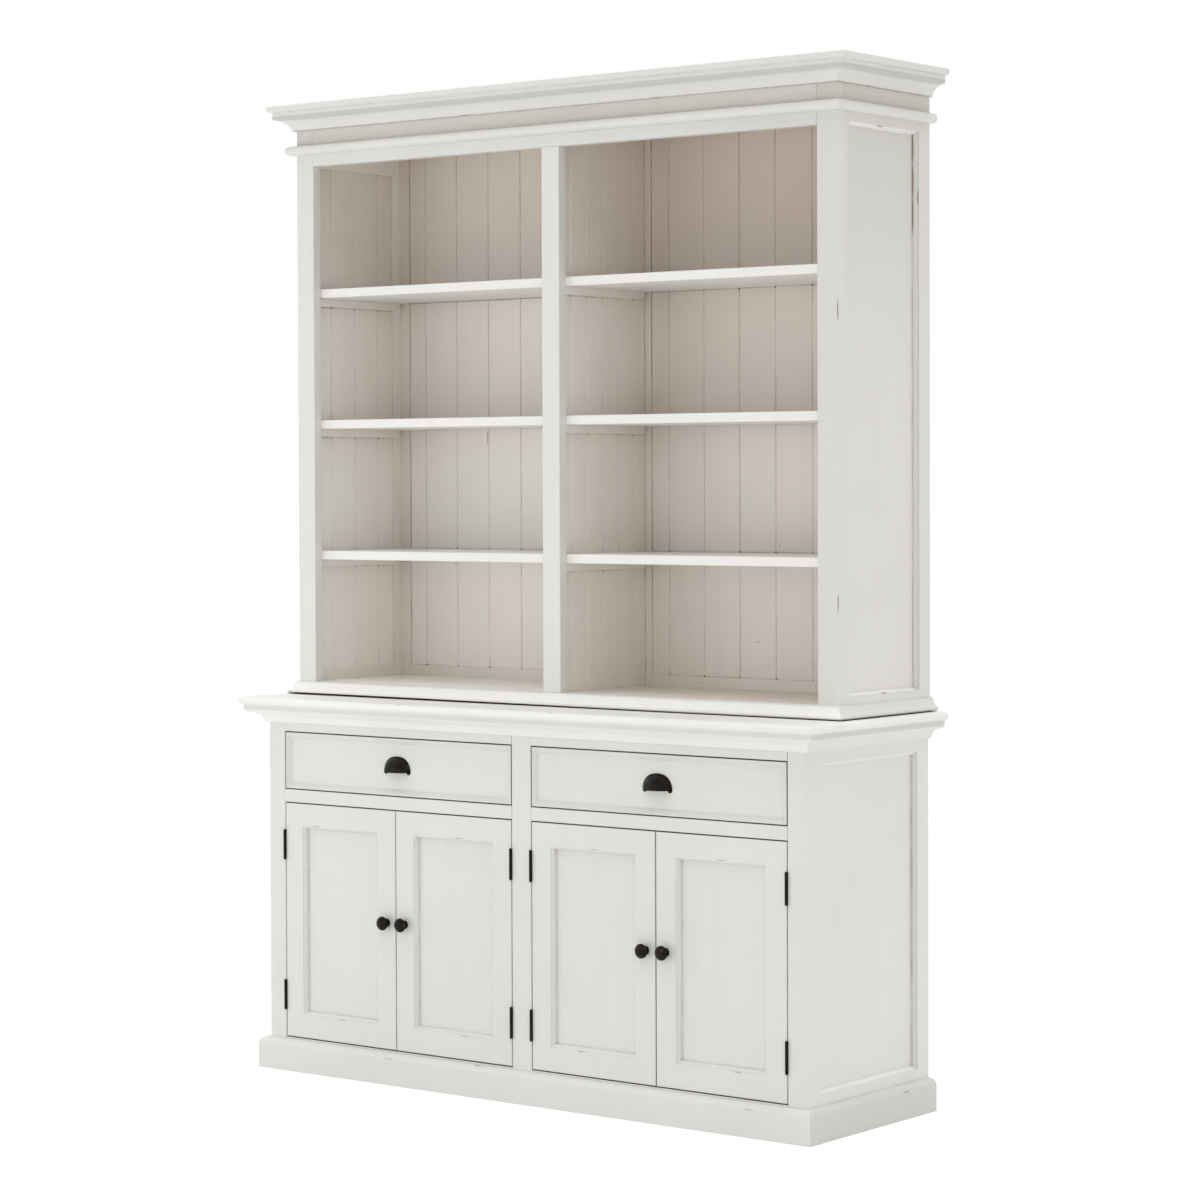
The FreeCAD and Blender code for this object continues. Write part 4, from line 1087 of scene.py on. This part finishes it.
# Paints of the inside
inside_walls = paint(
    "inside paint of the walls", INSIDE, "upright", stains_and_painted_light=[warm, top_bay_shade], dirt=INSIDE_DIRT,
)
inside_backs = paint(
    "inside paint of the back", INSIDE, "upright",
    stains_and_painted_light=[
        warm,
        (on_front(top_bays), CORNER_SHADE_TONE, 0.27),
        (on_front(high_in_right_bay), CORNER_SHADE_TONE, 0.26),
        (on_front(low_in_left_bay), INSIDE_PAINTED_LIGHT, 0.55),
        (on_front(back_dirt), JOINT_DIRT, 0.8),
        (on_front(bay_edges), JOINT_DIRT, 0.8),
        (on_front(under_top_shelf), JOINT_DIRT, 0.55),
        (on_front(bored(back_holes)), HOLE_DARK, 0.85),
        (rubbed(BACK_SPECKS), WORN_WOOD, 0.7),
    ],
    dirt=INSIDE_DIRT,
)
inside_partition = paint(
    "inside paint of the partition", INSIDE, "upright",
    stains_and_painted_light=[warm, top_bay_shade, (partition_dirt, JOINT_DIRT, 0.8), (partition_holes, HOLE_DARK, 0.85)],
    dirt=INSIDE_DIRT,
)
inside_flats = paint(
    "inside paint of the floors", INSIDE, "along",
    stains_and_painted_light=[
        (low_in_left_bay, INSIDE_PAINTED_LIGHT, 0.6),
        (floor_front, SHELF_WHITE_PAINTED_LIGHT, 0.8),
        warm,
        # Painted shade on the floors of the right bay
        (right_bay, CORNER_SHADE_TONE, 0.34),
    ],
    dirt=INSIDE_DIRT,
)
base_flats = paint("inside paint of the base floors", INSIDE, "along", dirt=INSIDE_DIRT)

# Metal and wood
bronze = blackened(
    "dark bronze", BRONZE, BRONZE_RUBBED, hammer=0.0005, share=0.45, marked=screw_slots,
)
hinge_steel = blackened("blackened steel", STEEL, BRONZE_RUBBED, hammer=0.0001, share=0.15)
pine_drawer = pine("bare pine of the drawers", between_sides, dovetails)
pine_runner = pine("bare pine of the runners")

# The pieces in each finish, and those that keep the edges of the CAD model
FINISHES = {
    upright_white: ["door_1_panel", "door_2_panel", "door_3_panel", "door_4_panel"],
    side_panel_white: ["base_side_panels"],
    level_white: ["astragal", "frieze"],
    table_edge_white: ["table_moulding"],
    hutch_foot_white: ["hutch_moulding"],
    plinth_white: ["plinth"],
    crown_white: ["crown_moulding"],
    drawer_white: ["drawer_1_front", "drawer_2_front"],
    side_moulding_white: ["base_side_mouldings", "hutch_side_mouldings"],
    table_white: ["table_top"],
    cap_white: ["cap_board"],
    base_face_white: ["base_face_frame"],
    hutch_face_white: ["hutch_face_frame"],
    door_white: ["door_1_frame", "door_2_frame", "door_3_frame", "door_4_frame"],
    base_side_white: ["base_left_side_frame", "base_right_side_frame"],
    hutch_side_white: ["hutch_left_side_frame", "hutch_right_side_frame"],
    side_board_white: ["hutch_side_boards"],
    inside_walls: ["base_partition", "base_back_frame", "hutch_back_frame", "door_stops"],
    inside_backs: ["base_back_boards", "hutch_back_boards"],
    inside_partition: ["hutch_partition"],
    shelf_white: ["hutch_shelves"],
    inside_flats: ["hutch_ceiling", "hutch_floor", "hutch_shelf_cleats"],
    base_flats: ["base_floor", "base_shelves", "base_shelf_cleats"],
    bronze: [
        "door_1_knob", "door_2_knob", "door_3_knob", "door_4_knob", "drawer_1_pull", "drawer_2_pull",
    ],
    hinge_steel: [
        "door_1_hinge_leaves", "door_2_hinge_leaves", "door_3_hinge_leaves", "door_4_hinge_leaves",
        "door_catches", "hinge_fixed_leaves", "hinge_pins", "joining_screws",
    ],
    pine_drawer: ["drawer_1_box", "drawer_2_box"],
    pine_runner: ["drawer_runners"],
}
UNEASED = [
    "astragal", "base_side_mouldings", "crown_moulding", "drawer_runners", "hutch_moulding",
    "hutch_side_boards", "plinth", "table_moulding", *FINISHES[bronze], *FINISHES[hinge_steel],
]
for material, names in FINISHES.items():
    for name in names:
        coat(nodes[name], material)
        if name not in UNEASED:
            ease(nodes[name])

make_camera()
make_lamps()
make_sky()
make_floor()
bpy.context.scene.view_settings.view_transform = "Standard"
